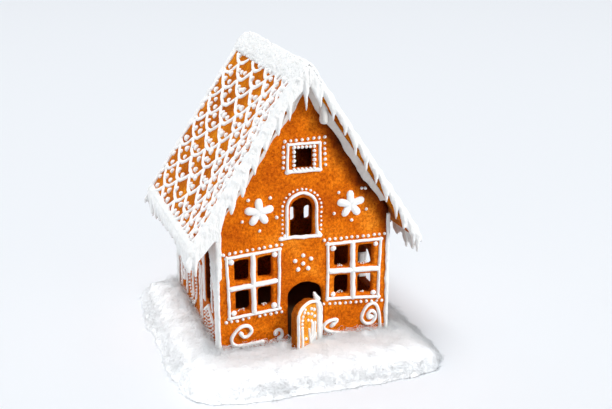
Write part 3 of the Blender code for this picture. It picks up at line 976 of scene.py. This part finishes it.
def drop(skin, foot, height, width, sides=12):
    """A blunt drop of icing that ran down and set. All in millimetres."""
    levels = ((0.3, 0.45), (1.0, 0.8), (2.4, 1.0), (height * 0.4, 0.95), (height * 0.75, 0.72), (height, 0.5))
    rings = []
    for level, share in levels:
        ring = []
        for i in range(sides):
            turn = 2 * math.pi * i / sides
            across, deep = width / 2 * share * math.cos(turn), 0.42 * width * share * math.sin(turn)
            ring.append((foot + Vector((across, deep, level))) * MM)
        rings.append(ring)
    skin.rings(rings)


# Piped decoration of the roof: rows of scallops like fish scales, with dots in each. The scales get narrower
# towards the front. These are the ends of the scallops, as distances from the front gable's face.
SCALE_ROW = 10.66
FIRST_ROW = 20.6
SCALE_ROWS = 12
SCALE_ENDS = (
    (-17.0, -5.5, 5.5, 18.0, 34.0, 59.5, 98.5, 138.5, 178.0),
    (-11.5, -0.5, 11.0, 25.5, 46.0, 79.0, 119.5, 159.0),
)


def roof_scales():
    for side, hand in ((-1, "left"), (1, "right")):
        draw = random.Random(40 + side)
        skin = Skin()
        surface = slope(side)
        last = (ROOF_Y[1] - FRONT_Y) / MM - 2.6
        for row in range(SCALE_ROWS):
            bottom = FIRST_ROW + row * SCALE_ROW
            ends = [a + draw.uniform(-1.6, 1.6) for a in SCALE_ENDS[row % 2]]
            for near, far in zip(ends, ends[1:]):
                scallop(skin, surface, near, far, bottom, last, draw)
                scale_dots(skin, surface, near, far, bottom, last, draw)
        edge = [(last + 0.8, b) for b in (12, 45, 80, 110, 139)]
        bead(skin, surface, edge, 2.2, 1.7, draw)
        piped(f"scales_{hand}", skin)


def on_roof(a, b, last):
    """Whether a place is on the bare part of the roof, clear of the icing along its edges."""
    return -7 + level_at(FRONT_LAPS, b) - 2 < a < last and 15 < b < 137.5


def scallop(skin, surface, near, far, bottom, last, draw):
    """One hanging arc, its lowest point a little nearer the front."""
    depth = 9.3 * draw.uniform(0.95, 1.06)
    sag = draw.uniform(-0.5, 0.5)
    lowest = near + (far - near) * draw.uniform(0.40, 0.50)
    points = []
    for k in range(17):
        a = near + (far - near) * k / 16
        if a < lowest:
            rise = ((lowest - a) / (lowest - near)) ** 2.0
        else:
            rise = ((a - lowest) / (far - lowest)) ** 1.8
        b = bottom + sag - depth * rise
        if on_roof(a, b, last):
            points.append((a, b))
    if len(points) > 2:
        bead(skin, surface, points, draw.uniform(2.8, 3.4), draw.uniform(1.15, 1.4), draw, wobble=0.18)


def scale_dots(skin, surface, near, far, bottom, last, draw):
    """A wide scale holds two dots side by side, often with one over them. A narrow one has room for one or two."""
    width = far - near
    middle = (near + far) / 2
    if width > 34:
        places = [(7.2, -5.6), (-6.8, -5.4)]
        luck = draw.random()
        if luck < 0.55:
            places.append((0.6 + draw.uniform(-2, 2), -11.2))
        if luck > 0.75:
            places.append((0.2, -5.2))
    elif width > 22:
        places = [(3.0, -5.0), (-4.4, -5.6), (0.0, -11.0)][: draw.choice((2, 3))]
    elif width > 14:
        places = [(0.2, -5.0), (1.0, -10.6)]
    else:
        places = [(0.2, -4.8), (0.8, -9.8)][: draw.choice((1, 2))]
    for da, db in places:
        a, b = middle + da + draw.uniform(-1.2, 1.2), bottom + db + draw.uniform(-0.7, 0.7)
        if on_roof(a, b, last - 1.5):
            dot(skin, surface, (a, b), draw.uniform(3.8, 4.7), draw, height=0.52)


# Piped decoration of the gables.
def window(skin, surface, corners, bars, blobs, draw):
    """A four-sided outline of separate strokes, a thick cross and a blob in each corner."""
    for i in range(4):
        one, two = Vector(corners[i]), Vector(corners[(i + 1) % 4])
        along = (two - one).normalized()
        start, end = one - along * draw.uniform(0.1, 0.9), two + along * draw.uniform(0.1, 0.9)
        middle = (start + end) / 2 + Vector((draw.uniform(-0.35, 0.35), draw.uniform(-0.35, 0.35)))
        bead(skin, surface, [tuple(start), tuple(middle), tuple(end)], 2.05, 1.5, draw, ends=1.15)
    for one, two, width in bars:
        bead(skin, surface, [one, two], width, 2.1, draw, wobble=0.1, sides=9)
    for place in blobs:
        dot(skin, surface, place, 3.7, draw, height=0.5, sides=14)


def crumbs(skin, surface, x_low, x_high, height, draw):
    """Flakes of icing sugar and crumb left on the foot of a pane."""
    for _ in range(9):
        a, b = draw.uniform(x_low, x_high), height + draw.uniform(-0.2, 0.9)
        out = draw.uniform(-4.5, -0.4)
        place = surface(a, b, out)
        size = draw.uniform(0.35, 0.85) * MM
        rings = []
        sides = 6
        for level in (-0.5, 0.0, 0.5):
            spread = size * math.sqrt(max(0.1, 1 - (level * 1.6) ** 2)) * draw.uniform(0.8, 1.2)
            ring = []
            for i in range(sides):
                turn = 2 * math.pi * i / sides
                offset = (spread * math.cos(turn), spread * math.sin(turn), level * size)
                ring.append(place + Vector(offset))
            rings.append(ring)
        skin.rings(rings)


def flower(skin, surface, centre, petals, draw):
    """Five fat drops of icing pulled in to the middle."""
    for angle, reach in petals:
        turn = math.radians(angle)
        tip = (centre[0] + reach * math.cos(turn), centre[1] + reach * math.sin(turn))
        inner = (centre[0] + 0.5 * math.cos(turn), centre[1] + 0.5 * math.sin(turn))
        bead(skin, surface, [inner, tip], 4.8, 1.5, draw, wobble=0.06, sides=9, ends=1.12)


# Rows of dots on the front gable: start, end, how many, and which are missing.
FRONT_DOTS = (
    ((-55.7, 67.4), (-15.7, 70.2), 11, ()),
    ((-54.9, 19.6), (-16.1, 22.6), 11, (5,)),
    ((13.7, 70.2), (57.5, 70.1), 12, ()),
    ((13.9, 24.1), (56.4, 21.5), 12, ()),
    ((-13.4, 139.6), (14.0, 140.6), 8, ()),
    ((-14.2, 136.0), (-14.6, 122.2), 5, ()),
    ((13.9, 136.6), (14.4, 122.2), 5, ()),
)
FLOWER_DOTS = (
    (-38.3, 102.6), (-23.5, 102.9), (-19.3, 89.3), (-30.9, 81.2), (-42.5, 88.5),
    (23.7, 102.3), (40.1, 103.9), (42.6, 103.7), (43.6, 89.0), (33.2, 82.3), (20.7, 88.1),
)
DOT_CLUSTER = ((-1.1, 60.9), (-6.7, 57.6), (4.5, 58.1), (-1.1, 55.2), (-4.6, 51.4), (2.4, 51.6))

# Lines of the scrolls at the foot of the front gable, from their curled end.
LEFT_SCROLL = (
    (-45.0, 10.6), (-43.2, 7.8), (-40.0, 8.2), (-37.4, 11.6), (-39.2, 15.0), (-43.2, 15.7),
    (-47.6, 13.2), (-50.8, 8.8), (-51.2, 5.0), (-48.8, 2.4), (-44.6, 1.8), (-37.0, 2.2), (-30.0, 2.6),
)
HOOK = ((-20.8, 6.9), (-20.4, 9.0), (-18.4, 9.8), (-16.4, 8.2), (-16.4, 5.0), (-18.4, 3.2))
RIGHT_SCROLL = (
    (19.6, 7.4), (22.0, 9.0), (23.6, 11.2), (20.2, 11.7), (16.2, 10.4), (13.8, 7.6), (15.2, 4.8),
    (20.0, 2.6), (27.0, 1.0), (36.6, -0.6),
)
FAR_SCROLL = (
    (49.4, 10.2), (46.8, 9.4), (46.2, 12.4), (48.6, 14.6), (51.6, 12.8), (51.8, 9.0), (49.2, 5.6),
    (45.0, 5.6), (41.9, 9.0), (42.2, 13.8), (45.2, 18.2), (49.4, 20.2), (52.9, 17.6), (54.8, 11.0), (55.3, 1.0),
)


def arch_outline(middle, half, foot, spring, rise):
    """Two upright sides and a round top, from the left foot to the right one."""
    points = [(middle - half, foot), (middle - half, (foot + spring) / 2), (middle - half, spring)]
    for k in range(1, 8):
        turn = math.pi * (1 - k / 8)
        points.append((middle + half * math.cos(turn), spring + rise * math.sin(turn)))
    points += [(middle + half, spring), (middle + half, (foot + spring) / 2), (middle + half, foot)]
    return points


def arched_window(skin, surface, middle, draw):
    """The outline of the arched window, its sill and the small dots round it."""
    outline = arch_outline(middle, 10.2, 75.0, 94.6, 9.6)
    outline[0] = (outline[0][0] - 0.4, outline[0][1])
    outline[-1] = (outline[-1][0] + 0.6, outline[-1][1])
    bead(skin, surface, outline, 2.0, 1.6, draw)
    left, right = middle - 14.6, middle + 12.6
    bead(skin, surface, [(left, 74.0), (middle - 6, 74.5), (middle + 1.4, 73.9)], 2.2, 1.7, draw, ends=1.5)
    bead(skin, surface, [(middle + 2.6, 73.9), (middle + 8, 73.9), (right, 74.0)], 2.2, 1.7, draw, ends=1.5)
    for x in (middle - 11.6, middle + 11.4):
        dot(skin, surface, (x, 75.4), 3.6, draw, height=0.45)
    around = through(arch_outline(middle, 13.4, 78.0, 94.2, 12.6), 3.0)
    for place in around:
        spot = (place.x + draw.uniform(-0.2, 0.2), place.y + draw.uniform(-0.2, 0.2))
        dot(skin, surface, spot, draw.uniform(1.4, 1.8), draw)


def attic_window(skin, surface, middle, draw):
    """The square attic window: fat beads round the hole and a thin frame outside them."""
    left, right, foot, top = middle - 6.9, middle + 6.9, 120.3, 135.0
    corners = ((-11.0, 137.2), (10.8, 137.2), (11.0, 119.2), (-11.6, 119.0))
    outline = [(middle + a, b) for a, b in corners]
    for i in range(4):
        one, two = outline[i], outline[(i + 1) % 4]
        bead(skin, surface, [one, two], 1.8 if i != 2 else 2.5, 1.3, draw, ends=1.25)
    for k in range(6):
        share = k / 5
        for place in ((left + (right - left) * share, top), (left + (right - left) * share, foot)):
            dot(skin, surface, place, 2.35, draw, height=0.6)
        for place in ((left, foot + (top - foot) * share), (right, foot + (top - foot) * share)):
            dot(skin, surface, place, 2.45, draw, height=0.6)


# The front windows: corners from the upper left, bars of the cross with their widths, blobs in the corners, and
# the panes' sills as (left, right, height).
FRONT_WINDOWS = {
    "left": (
        ((-53.6, 64.4), (-17.6, 67.2), (-18.4, 25.0), (-52.4, 22.2)),
        (((-35.8, 65.4), (-35.4, 24.8), 3.4), ((-51.0, 42.8), (-20.4, 45.2), 3.4)),
        ((-50.5, 61.7), (-20.9, 63.8), (-49.3, 25.8), (-21.6, 27.9)),
        ((-47.6, -42.0, 45.4), (-31.6, -26.0, 46.9), (-47.0, -41.4, 26.2), (-31.0, -25.6, 28.6)),
    ),
    "right": (
        ((16.4, 66.8), (54.8, 66.8), (53.6, 24.6), (16.2, 27.6)),
        (((34.2, 66.2), (34.8, 26.6), 3.6), ((18.0, 47.4), (52.4, 45.6), 3.6)),
        ((20.2, 63.5), (51.0, 63.6), (20.4, 30.4), (49.9, 28.1)),
        ((22.4, 28.6, 49.8), (39.4, 45.6, 49.4), (22.0, 28.4, 30.6), (39.2, 45.0, 28.4)),
    ),
}
# The front flowers: middle, and the direction in degrees and length of each petal.
FRONT_FLOWERS = {
    "left": ((-31.0, 93.8), ((92, 6.9), (12, 7.2), (-57, 6.7), (-126, 7.4), (168, 7.2))),
    "right": ((32.3, 93.6), ((94, 6.9), (16, 7.4), (-52, 7.2), (-124, 7.2), (168, 7.0))),
}


def front_piping():
    draw = random.Random(3)
    for hand, (corners, bars, blobs, sills) in FRONT_WINDOWS.items():
        skin = Skin()
        window(skin, front, corners, bars, blobs, draw)
        for low, high, height in sills:
            crumbs(skin, front, low, high, height, draw)
        piped(f"window_front_{hand}", skin, f"icing_window_front_{hand}")
    skin = Skin()
    arched_window(skin, front, -1.9, draw)
    piped("arch_front", skin, "icing_arch_front")
    skin = Skin()
    attic_window(skin, front, -0.3, draw)
    piped("attic_front", skin, "icing_attic_front")
    for hand, (centre, petals) in FRONT_FLOWERS.items():
        skin = Skin()
        flower(skin, front, centre, petals, draw)
        piped(f"flower_front_{hand}", skin, f"icing_flower_front_{hand}")

    skin = Skin()
    for start, end, count, missing in FRONT_DOTS:
        dots(skin, front, start, end, count, 2.1, draw, missing)
    for place in FLOWER_DOTS:
        dot(skin, front, place, 2.2, draw)
    for place in DOT_CLUSTER:
        dot(skin, front, place, 3.1, draw, height=0.55)
    piped("dots_front", skin)

    skin = Skin()
    for line in (LEFT_SCROLL, HOOK, RIGHT_SCROLL, FAR_SCROLL):
        bead(skin, front, line, 2.3, 1.8, draw, ends=1.3)
    for place in ((-44.4, 9.8), (-20.3, 7.6), (20.8, 8.4), (48.2, 10.6)):
        dot(skin, front, place, 3.2, draw, height=0.5)
    piped("scrolls_front", skin)


def back_piping():
    """The back gable, decorated as the front one but for its plain lower middle."""
    draw = random.Random(4)
    for hand, sign in (("left", -1), ("right", 1)):
        skin = Skin()
        corners = ((sign * 20.2, 58.4), (sign * 56.2, 58.9), (sign * 56.0, 20.8), (sign * 20.4, 20.2))
        upright = ((sign * 38.3, 57.6), (sign * 38.2, 21.2), 3.5)
        level = ((sign * 21.6, 39.6), (sign * 54.8, 39.8), 3.5)
        blobs = [(sign * x, z) for x, z in ((23.4, 55.0), (53.2, 55.2), (23.6, 23.8), (53.0, 24.0))]
        window(skin, back, corners, (upright, level), blobs, draw)
        piped(f"window_back_{hand}", skin, f"icing_window_back_{hand}")
        skin = Skin()
        petals = [(90 + 72 * k + draw.uniform(-4, 4), draw.uniform(6.8, 7.3)) for k in range(5)]
        flower(skin, back, (sign * 31.0, 93.0), petals, draw)
        piped(f"flower_back_{hand}", skin, f"icing_flower_back_{hand}")
    skin = Skin()
    arched_window(skin, back, 0.0, draw)
    piped("arch_back", skin, "icing_arch_back")
    skin = Skin()
    attic_window(skin, back, 0.0, draw)
    piped("attic_back", skin, "icing_attic_back")
    skin = Skin()
    for sign in (-1, 1):
        dots(skin, back, (sign * 17.0, 62.4), (sign * 57.0, 62.8), 11, 2.1, draw)
        dots(skin, back, (sign * 17.0, 16.4), (sign * 57.0, 16.6), 11, 2.1, draw)
        dots(skin, back, (sign * 14.2, 136.4), (sign * 14.4, 122.2), 5, 2.1, draw)
        for a, b in ((38.3, 102.6), (23.5, 102.9), (19.3, 89.3), (31.0, 81.2), (42.5, 88.5)):
            dot(skin, back, (sign * a, b), 2.2, draw)
        line = [(sign * abs(a), b - 2.0) for a, b in LEFT_SCROLL]
        bead(skin, back, line, 2.3, 1.8, draw, ends=1.3)
    dots(skin, back, (-13.4, 140.0), (13.4, 140.0), 8, 2.1, draw)
    for a, b in DOT_CLUSTER:
        dot(skin, back, (a + 1.1, b - 14), 3.1, draw, height=0.55)
    piped("dots_back", skin)


# Upright rows of dots under the side windows: distance from the front gable's face, lowest and highest.
SIDE_ROWS = (
    (14.8, 2.0, 12.0), (19.5, 4.0, 15.4), (24.2, 2.0, 18.0),
    (28.9, 3.0, 18.0), (33.6, 2.0, 15.0), (38.3, 4.0, 11.6),
)


def side_piping():
    """Both side walls: beaded lines beside the window, a gabled top, and motifs piped below and behind it."""
    for side, hand in ((-1, "left"), (1, "right")):
        draw = random.Random(60 + side)
        surface = wall(side)
        skin = Skin()
        for a in (15.6, 37.6, 41.0) if side < 0 else (14.4, 40.4):
            line = [(a, 22.0), (a + 0.5, 36.0), (a - 0.3, 49.0), (a, 61.0)]
            bead(skin, surface, line, 1.6, 1.0, draw, wobble=0.34)
        top = [(15.6, 61.0), (26.5, 69.0), (37.6, 61.0)]
        bead(skin, surface, top, 1.6, 1.0, draw, smooth=False, wobble=0.34)
        bead(skin, surface, [(14.0, 14.5), (26.5, 22.5), (39.0, 14.5)], 2.0, 1.6, draw, smooth=False)
        for a, low, high in SIDE_ROWS:
            dots(skin, surface, (a, low), (a + 1.0, high), round((high - low) / 2.7) + 1, 1.6, draw)
        for a in (47.0, 52.5):
            bead(skin, surface, [(a, 5.0), (a + 0.6, 24.0), (a, 44.0)], 1.7, 1.0, draw, wobble=0.34)
        for place in through([(76, 46), (86, 30), (87, 16), (76, 5), (65, 16), (66, 30)], 2.5, closed=True):
            dot(skin, surface, (place.x, place.y), 2.0, draw)
        bead(skin, surface, [(76, 11.0), (76.6, 24.0), (76, 38.0)], 2.4, 1.4, draw, wobble=0.34)
        for a in (98.0, 118.0):
            bead(skin, surface, [(a, 5.0), (a + 0.4, 20.0), (a, 36.0)], 2.0, 1.3, draw, wobble=0.34)
        line = []
        for t in range(1, 13):
            reach = 6.5 * t / 8
            line.append((108 + reach * math.cos(t * 0.7), 18 + reach * math.sin(t * 0.7)))
        bead(skin, surface, line, 2.1, 1.6, draw, ends=1.2)
        piped(f"dots_{hand}", skin)


def run_in():
    """Icing that ran into the right-hand window and set on its far side."""
    skin = Skin()
    rings = []
    steps = 14
    for step in range(steps + 1):
        z = 25.6 + 18.6 * step / steps
        thick = 1.1 + 0.5 * noise.noise((z * 0.3, 2.0, 0.0))
        profile = (
            (53.6, 38.4),
            (53.2, 37.6),
            (54.4, 37.6 - thick),
            (59.4, 37.8 - thick),
            (60.6, 37.8),
            (60.4, 38.4),
        )
        rings.append([Vector((x * MM, FRONT_Y + y * MM, SNOW_TOP + z * MM)) for x, y in profile])
    skin.rings(rings)
    iced("run_in", skin, (), voxel=0.45, rounds=3, bumps=((0.004, 0.5),), keep=0.6)


# On the door's face: dots, blades of grass with their widths, and the lumps of icing at its hinge edge, as
# (a, b, out, size).
DOOR_DOTS = (
    (11.2, 24.9), (8.3, 23.5), (14.5, 22.4), (10.9, 21.0), (7.9, 18.6), (14.2, 17.6), (11.1, 16.1),
    (17.1, 25.8), (18.0, 24.0), (19.4, 21.4), (19.9, 18.8), (20.2, 16.4), (20.1, 13.8),
    (16.6, 4.6), (16.8, -1.5),
)
DOOR_BLADES = (
    (((20.1, 12.2), (19.8, 4.0), (20.0, -4.0)), 2.0),
    (((13.4, 10.7), (12.6, 4.0), (11.6, -3.0)), 1.8),
    (((10.1, 14.5), (10.5, 8.0), (11.2, -3.0)), 2.0),
    (((7.5, 14.1), (8.2, 6.9), (10.4, -2.0)), 1.8),
    (((7.0, 6.0), (7.6, 0.0), (7.4, -3.0)), 1.6),
)
HINGE_LUMPS = (
    (4.6, 30.6, -1.6, 4.2), (5.4, 32.6, -2.0, 3.0), (5.9, 34.2, -2.2, 1.9),
    (2.2, 28.6, -2.6, 4.6), (1.2, 24.0, -3.4, 4.4),
)


def door_piping():
    """The door's face, and the icing that holds its hinge edge."""
    draw = random.Random(12)
    skin = Skin()
    bead(skin, door_face, arch_outline(12.5, 11.2, -5.0, 21.6, 8.4), 1.9, 1.5, draw)
    bead(skin, door_face, [(3.6, -5.0), (3.8, 8.0), (4.0, 19.0), (4.8, 28.0)], 3.3, 2.0, draw)
    for place in DOOR_DOTS:
        dot(skin, door_face, place, 2.3, draw, height=0.5)
    for blade, width in DOOR_BLADES:
        bead(skin, door_face, blade, width, 1.2, draw)
    piped("door_icing", skin)
    skin = Skin()
    for a, b, out, size in HINGE_LUMPS:
        blob(skin, door_face(a, b, out), size * MM, draw)
    for k in range(8):
        place = door_face(-0.2, 2.0 + 3.2 * k, -2.8 + draw.uniform(-0.4, 0.4))
        blob(skin, place, draw.uniform(3.0, 3.8) * MM, draw)
    iced("hinge_blob", skin, (), voxel=0.45, rounds=3, bumps=((0.003, 0.5),), keep=0.6)


def blob(skin, centre, size, draw, sides=12):
    """A rough ball."""
    rings = []
    for k in range(1, 7):
        tilt = math.pi * k / 7
        ring = []
        for i in range(sides):
            turn = 2 * math.pi * i / sides
            reach = size / 2 * draw.uniform(0.9, 1.1)
            way = Vector((math.sin(tilt) * math.cos(turn), math.sin(tilt) * math.sin(turn), math.cos(tilt)))
            ring.append(centre + way * reach)
        rings.append(ring)
    skin.rings(rings)


# Cotton wool.
def tufts(skin, draw):
    """Lumps of wool that lean against the walls. None lies in front of the doorway."""
    for _ in range(60):
        luck = draw.random()
        if luck < 0.4:
            spot = Vector((draw.uniform(-60, 60), FRONT_Y / MM - draw.uniform(2, 7), 0))
            if -14 < spot.x < 16:
                continue
        elif luck < 0.7:
            spot = Vector((-HALF_WIDTH / MM - draw.uniform(2, 6), draw.uniform(FRONT_Y, BACK_Y) / MM, 0))
        elif luck < 0.85:
            spot = Vector((HALF_WIDTH / MM + draw.uniform(2, 6), draw.uniform(FRONT_Y, BACK_Y) / MM, 0))
        else:
            spot = Vector((draw.uniform(-60, 60), BACK_Y / MM + draw.uniform(2, 7), 0))
        spot.z = SNOW_TOP / MM - 2.0
        blob(skin, spot * MM, draw.uniform(6, 10) * MM, draw)


def thinned(mesh):
    """Thins the wool towards its edge, down to a single layer of fibres."""
    lowest = 0.3 * MM
    margin, brink = 24, 4  # how far in, in millimetres, the wool starts to fall, and to fall away
    middle, reach = (SNOW_LOW + SNOW_HIGH) / 2, (SNOW_HIGH - SNOW_LOW) / 2
    for vertex in mesh.vertices:
        inset = min(reach.x - abs(vertex.co.x - middle.x), reach.y - abs(vertex.co.y - middle.y)) / MM
        share = min(1.0, max(0.0, inset / margin))
        height = vertex.co.z * (0.3 + 0.7 * math.sin(share * math.pi / 2) ** 0.8)
        height -= 0.9 * MM * min(1.0, max(0.0, 1 - inset / brink))
        vertex.co.z = max(lowest, height)


def snow():
    """A lumpy mass of cotton wool with thousands of loose fibres, drawn up at the foot of the walls."""
    points, faces = node_body("cotton_snow")
    skin = Skin()
    skin.add(points, faces)
    tufts(skin, random.Random(77))
    skirt(skin)
    mesh = outwards(skin.mesh("wool"))
    obj = bpy.data.objects.new("wool", mesh)
    bpy.context.scene.collection.objects.link(obj)
    roughened(obj, 1.4 * MM, 10, ((0.022, 3.4 * MM), (0.009, 0.9 * MM), (0.003, 0.3 * MM)))
    settled(obj)
    made = obj.data
    bpy.data.objects.remove(obj)
    thinned(made)
    put("snow", made, WOOL, ("cotton_snow",))
    fibres("fibres", made, 3400, on_top, 1.6, 99)
    fibres("fibres_rim", made, 6200, on_rim, 2.0, 100)
    fibres("fibres_foot", made, 3800, at_foot, 6.0, 101)


# Where on the wool's surface a strand may start, by the face it starts on.
def on_top(face):
    return face.normal.z > -0.2 and face.center.z > 2.5 * MM


def on_rim(face):
    width = 5 * MM
    return abs(face.center.x) > SNOW_HIGH.x - width or abs(face.center.y) > SNOW_HIGH.y - width


def at_foot(face):
    """Whether the face is on the wool in a band round the foot of the walls."""
    inside, outside = 3 * MM, 8 * MM
    across, y = abs(face.center.x), face.center.y
    if face.normal.z <= 0 or across >= HALF_WIDTH + outside or not FRONT_Y - outside < y < BACK_Y + outside:
        return False
    return across > HALF_WIDTH - inside or y < FRONT_Y + inside or y > BACK_Y - inside


def skirt(skin):
    """The wool's thin edge, which spreads on the floor round the board."""
    middle, reach = (SNOW_LOW + SNOW_HIGH) / 2, (SNOW_HIGH - SNOW_LOW) / 2
    power = 7.0  # of a rounded rectangle, whose corners are sharper the higher it is
    steps = 240
    rings = []
    for step in range(steps):
        turn = 2 * math.pi * step / steps
        way = Vector((math.cos(turn), math.sin(turn), 0))
        # Where the rounded rectangle is met on the way out from its middle.
        out = ((abs(way.x) / reach.x) ** power + (abs(way.y) / reach.y) ** power) ** (-1 / power)
        wave = 3.0 * noise.noise(way * 5) + 1.6 * noise.noise(way * 16)
        profile = (
            (-16, 0.2),
            (-16, 12.0),
            (-9, 12.0),
            (-5, 12.0),
            (-1.0 + wave * 0.3, 11.5),
            (1.2 + wave * 0.6, 9.5),
            (3.0 + wave, 6.5),
            (4.2 + wave, 3.8),
            (4.8 + wave, 0.2),
        )
        ring = []
        for beyond, z in profile:
            spot = middle + way * (out + beyond * MM)
            ring.append(Vector((spot.x, spot.y, z * MM)))
        rings.append(ring)
    skin.rings(rings, closed=True)


def fibres(name, base, count, chosen, lift, seed):
    """Curled strands that start on the faces that chosen picks out, and rise up to lift over the surface."""
    draw = random.Random(seed)
    faces = [face for face in base.polygons if chosen(face)]
    picked = draw.choices(faces, [face.area for face in faces], k=count)
    skin = Skin()
    steps, sides = 3, 3
    for face in picked:
        start = face.center.copy()
        normal = face.normal.copy()
        lean = Vector((draw.uniform(-1, 1), draw.uniform(-1, 1), draw.uniform(-1, 1)))
        side = normal.cross(lean).normalized()
        length = draw.uniform(4, 11) * MM
        rise = draw.uniform(0.15, lift) * MM
        curl = draw.uniform(-2.4, 2.4)
        thick = draw.uniform(0.06, 0.11) * MM
        rings = []
        for step in range(steps + 1):
            share = step / steps
            turn = curl * (share - 0.5)
            along = side * math.cos(turn) + normal.cross(side) * math.sin(turn)
            place = start + along * length * (share - 0.5) + normal * rise * math.sin(math.pi * share)
            place += normal * 0.2 * MM
            place.z = max(place.z, 0.3 * MM)
            across = along.cross(normal).normalized()
            ring = []
            for i in range(sides):
                spin = 2 * math.pi * i / sides
                ring.append(place + (across * math.cos(spin) + normal * math.sin(spin)) * thick)
            rings.append(ring)
        skin.rings(rings)
    put(name, skin.mesh(name), WOOL)


def bare_board():
    obj = frame["nodes"]["board"]
    obj.data.materials.clear()
    obj.data.materials.append(CARD)


# Stage, light and camera.
def stage():
    """A floor that reaches far past the object, a little darker far away: painted shade for the light falling off
    with distance.
    """
    half = 9.0
    mesh = bpy.data.meshes.new("floor")
    corners = [(-half, -half, 0), (half, -half, 0), (half, half, 0), (-half, half, 0)]
    mesh.from_pydata(corners, [], [(0, 1, 2, 3)])
    floor = bpy.data.objects.new("floor", mesh)
    bpy.context.scene.collection.objects.link(floor)
    make = Nodes("floor")
    far = make.new("ShaderNodeVectorMath", operation="LENGTH")
    make.link(make.place, far.inputs[0])
    reach = make.sums("DIVIDE", far.outputs["Value"], 4.0)
    # Painted shade: the floor's colour darkens with distance, for the light falling off.
    colour = make.ramp(reach, (0.1, (0.915, 0.945, 0.98)), (1.0, (0.85, 0.875, 0.91)))
    make.link(colour, make.shader.inputs["Base Color"])
    make.shader.inputs["Roughness"].default_value = 0.9
    make.shader.inputs["Specular IOR Level"].default_value = 0.1
    mesh.materials.append(make.material)


LIGHT_DISTANCE = 2.2


def direction(azimuth, elevation):
    """The way towards something, its azimuth in degrees from straight ahead of the front gable to the right."""
    azimuth, elevation = math.radians(azimuth), math.radians(elevation)
    level = math.cos(elevation)
    return Vector((math.sin(azimuth) * level, -math.cos(azimuth) * level, math.sin(elevation)))


def softbox(name, way, size, power, colour):
    """A lamp with a flat square face, which looks at the middle of the house."""
    light = bpy.data.lights.new(name, "AREA")
    light.shape = "RECTANGLE"
    light.size, light.size_y = size
    light.energy = power
    light.color = colour
    obj = bpy.data.objects.new(name, light)
    bpy.context.scene.collection.objects.link(obj)
    obj.location = Vector((0, 0, 0.09)) + way * LIGHT_DISTANCE
    obj.rotation_euler = (way * LIGHT_DISTANCE).to_track_quat("Z", "Y").to_euler()
    return obj


def surround():
    """A plain world, bright at the horizon and dim above."""
    world = bpy.data.worlds.new("studio")
    bpy.context.scene.world = world
    world.use_nodes = True
    tree = world.node_tree
    background = tree.nodes["Background"]
    background.inputs["Color"].default_value = (0.94, 0.965, 1.0, 1)
    place = tree.nodes.new("ShaderNodeTexCoord")
    split = tree.nodes.new("ShaderNodeSeparateXYZ")
    ramp = tree.nodes.new("ShaderNodeValToRGB")
    ramp.color_ramp.elements.new(0.5)
    for element, (height, grey) in zip(ramp.color_ramp.elements, ((0.0, 0.75), (0.22, 0.17), (1.0, 0.2))):
        element.position = height
        element.color = (grey, grey, grey, 1)
    tree.links.new(place.outputs["Generated"], split.inputs["Vector"])
    tree.links.new(split.outputs["Z"], ramp.inputs["Fac"])
    tree.links.new(ramp.outputs["Color"], background.inputs["Strength"])


def lights():
    """Soft light from overhead, a key from the front right, a fill from the left and a low one on the wool."""
    sun = bpy.data.lights.new("overhead", "SUN")
    sun.energy = 2.55
    sun.angle = math.radians(45)
    sun.color = (0.985, 0.99, 1.0)
    high = bpy.data.objects.new("overhead", sun)
    bpy.context.scene.collection.objects.link(high)
    high.rotation_euler = (0, math.radians(-8), 0)
    key = softbox("key", direction(48, 36), (0.62, 0.62), 46, (1.0, 0.985, 0.965))
    side = softbox("side", direction(-98, 26), (0.9, 0.9), 15, (0.97, 0.985, 1.0))
    low = softbox("low", direction(-34, 4), (1.4, 0.6), 48, (0.97, 0.985, 1.0))
    # These three light the house or the wool alone, so that the floor stays even and the wool isn't blown out.
    wool = ("snow", "fibres", "fibres_rim", "fibres_foot")
    house_lit = bpy.data.collections.new("house_lit")
    wool_lit = bpy.data.collections.new("wool_lit")
    for obj in bpy.context.scene.objects:
        if obj.type == "MESH" and obj.name != "floor":
            (wool_lit if obj.name in wool else house_lit).objects.link(obj)
    key.light_linking.receiver_collection = house_lit
    side.light_linking.receiver_collection = house_lit
    low.light_linking.receiver_collection = wool_lit


def camera():
    """A short telephoto a little above the roof's eaves, to the left of the door."""
    lens = bpy.data.cameras.new("camera")
    lens.sensor_width = 36
    lens.lens = 57.06
    obj = bpy.data.objects.new("camera", lens)
    bpy.context.scene.collection.objects.link(obj)
    azimuth = -18.45
    away = direction(azimuth, 16.67)
    right = Vector((math.cos(math.radians(azimuth)), math.sin(math.radians(azimuth)), 0))
    up = away.cross(right)
    turn = Matrix((right, up, away)).transposed()
    obj.matrix_world = Matrix.Translation(Vector((-0.1922, -0.6341, 0.2929))) @ turn.to_4x4()
    bpy.context.scene.camera = obj
    bpy.context.scene.view_settings.view_transform = "Standard"


bake()
bare_board()
roof_edges()
eaves()
ridge()
joints()
roof_scales()
front_piping()
back_piping()
side_piping()
run_in()
door_piping()
snow()
stage()
surround()
lights()
camera()
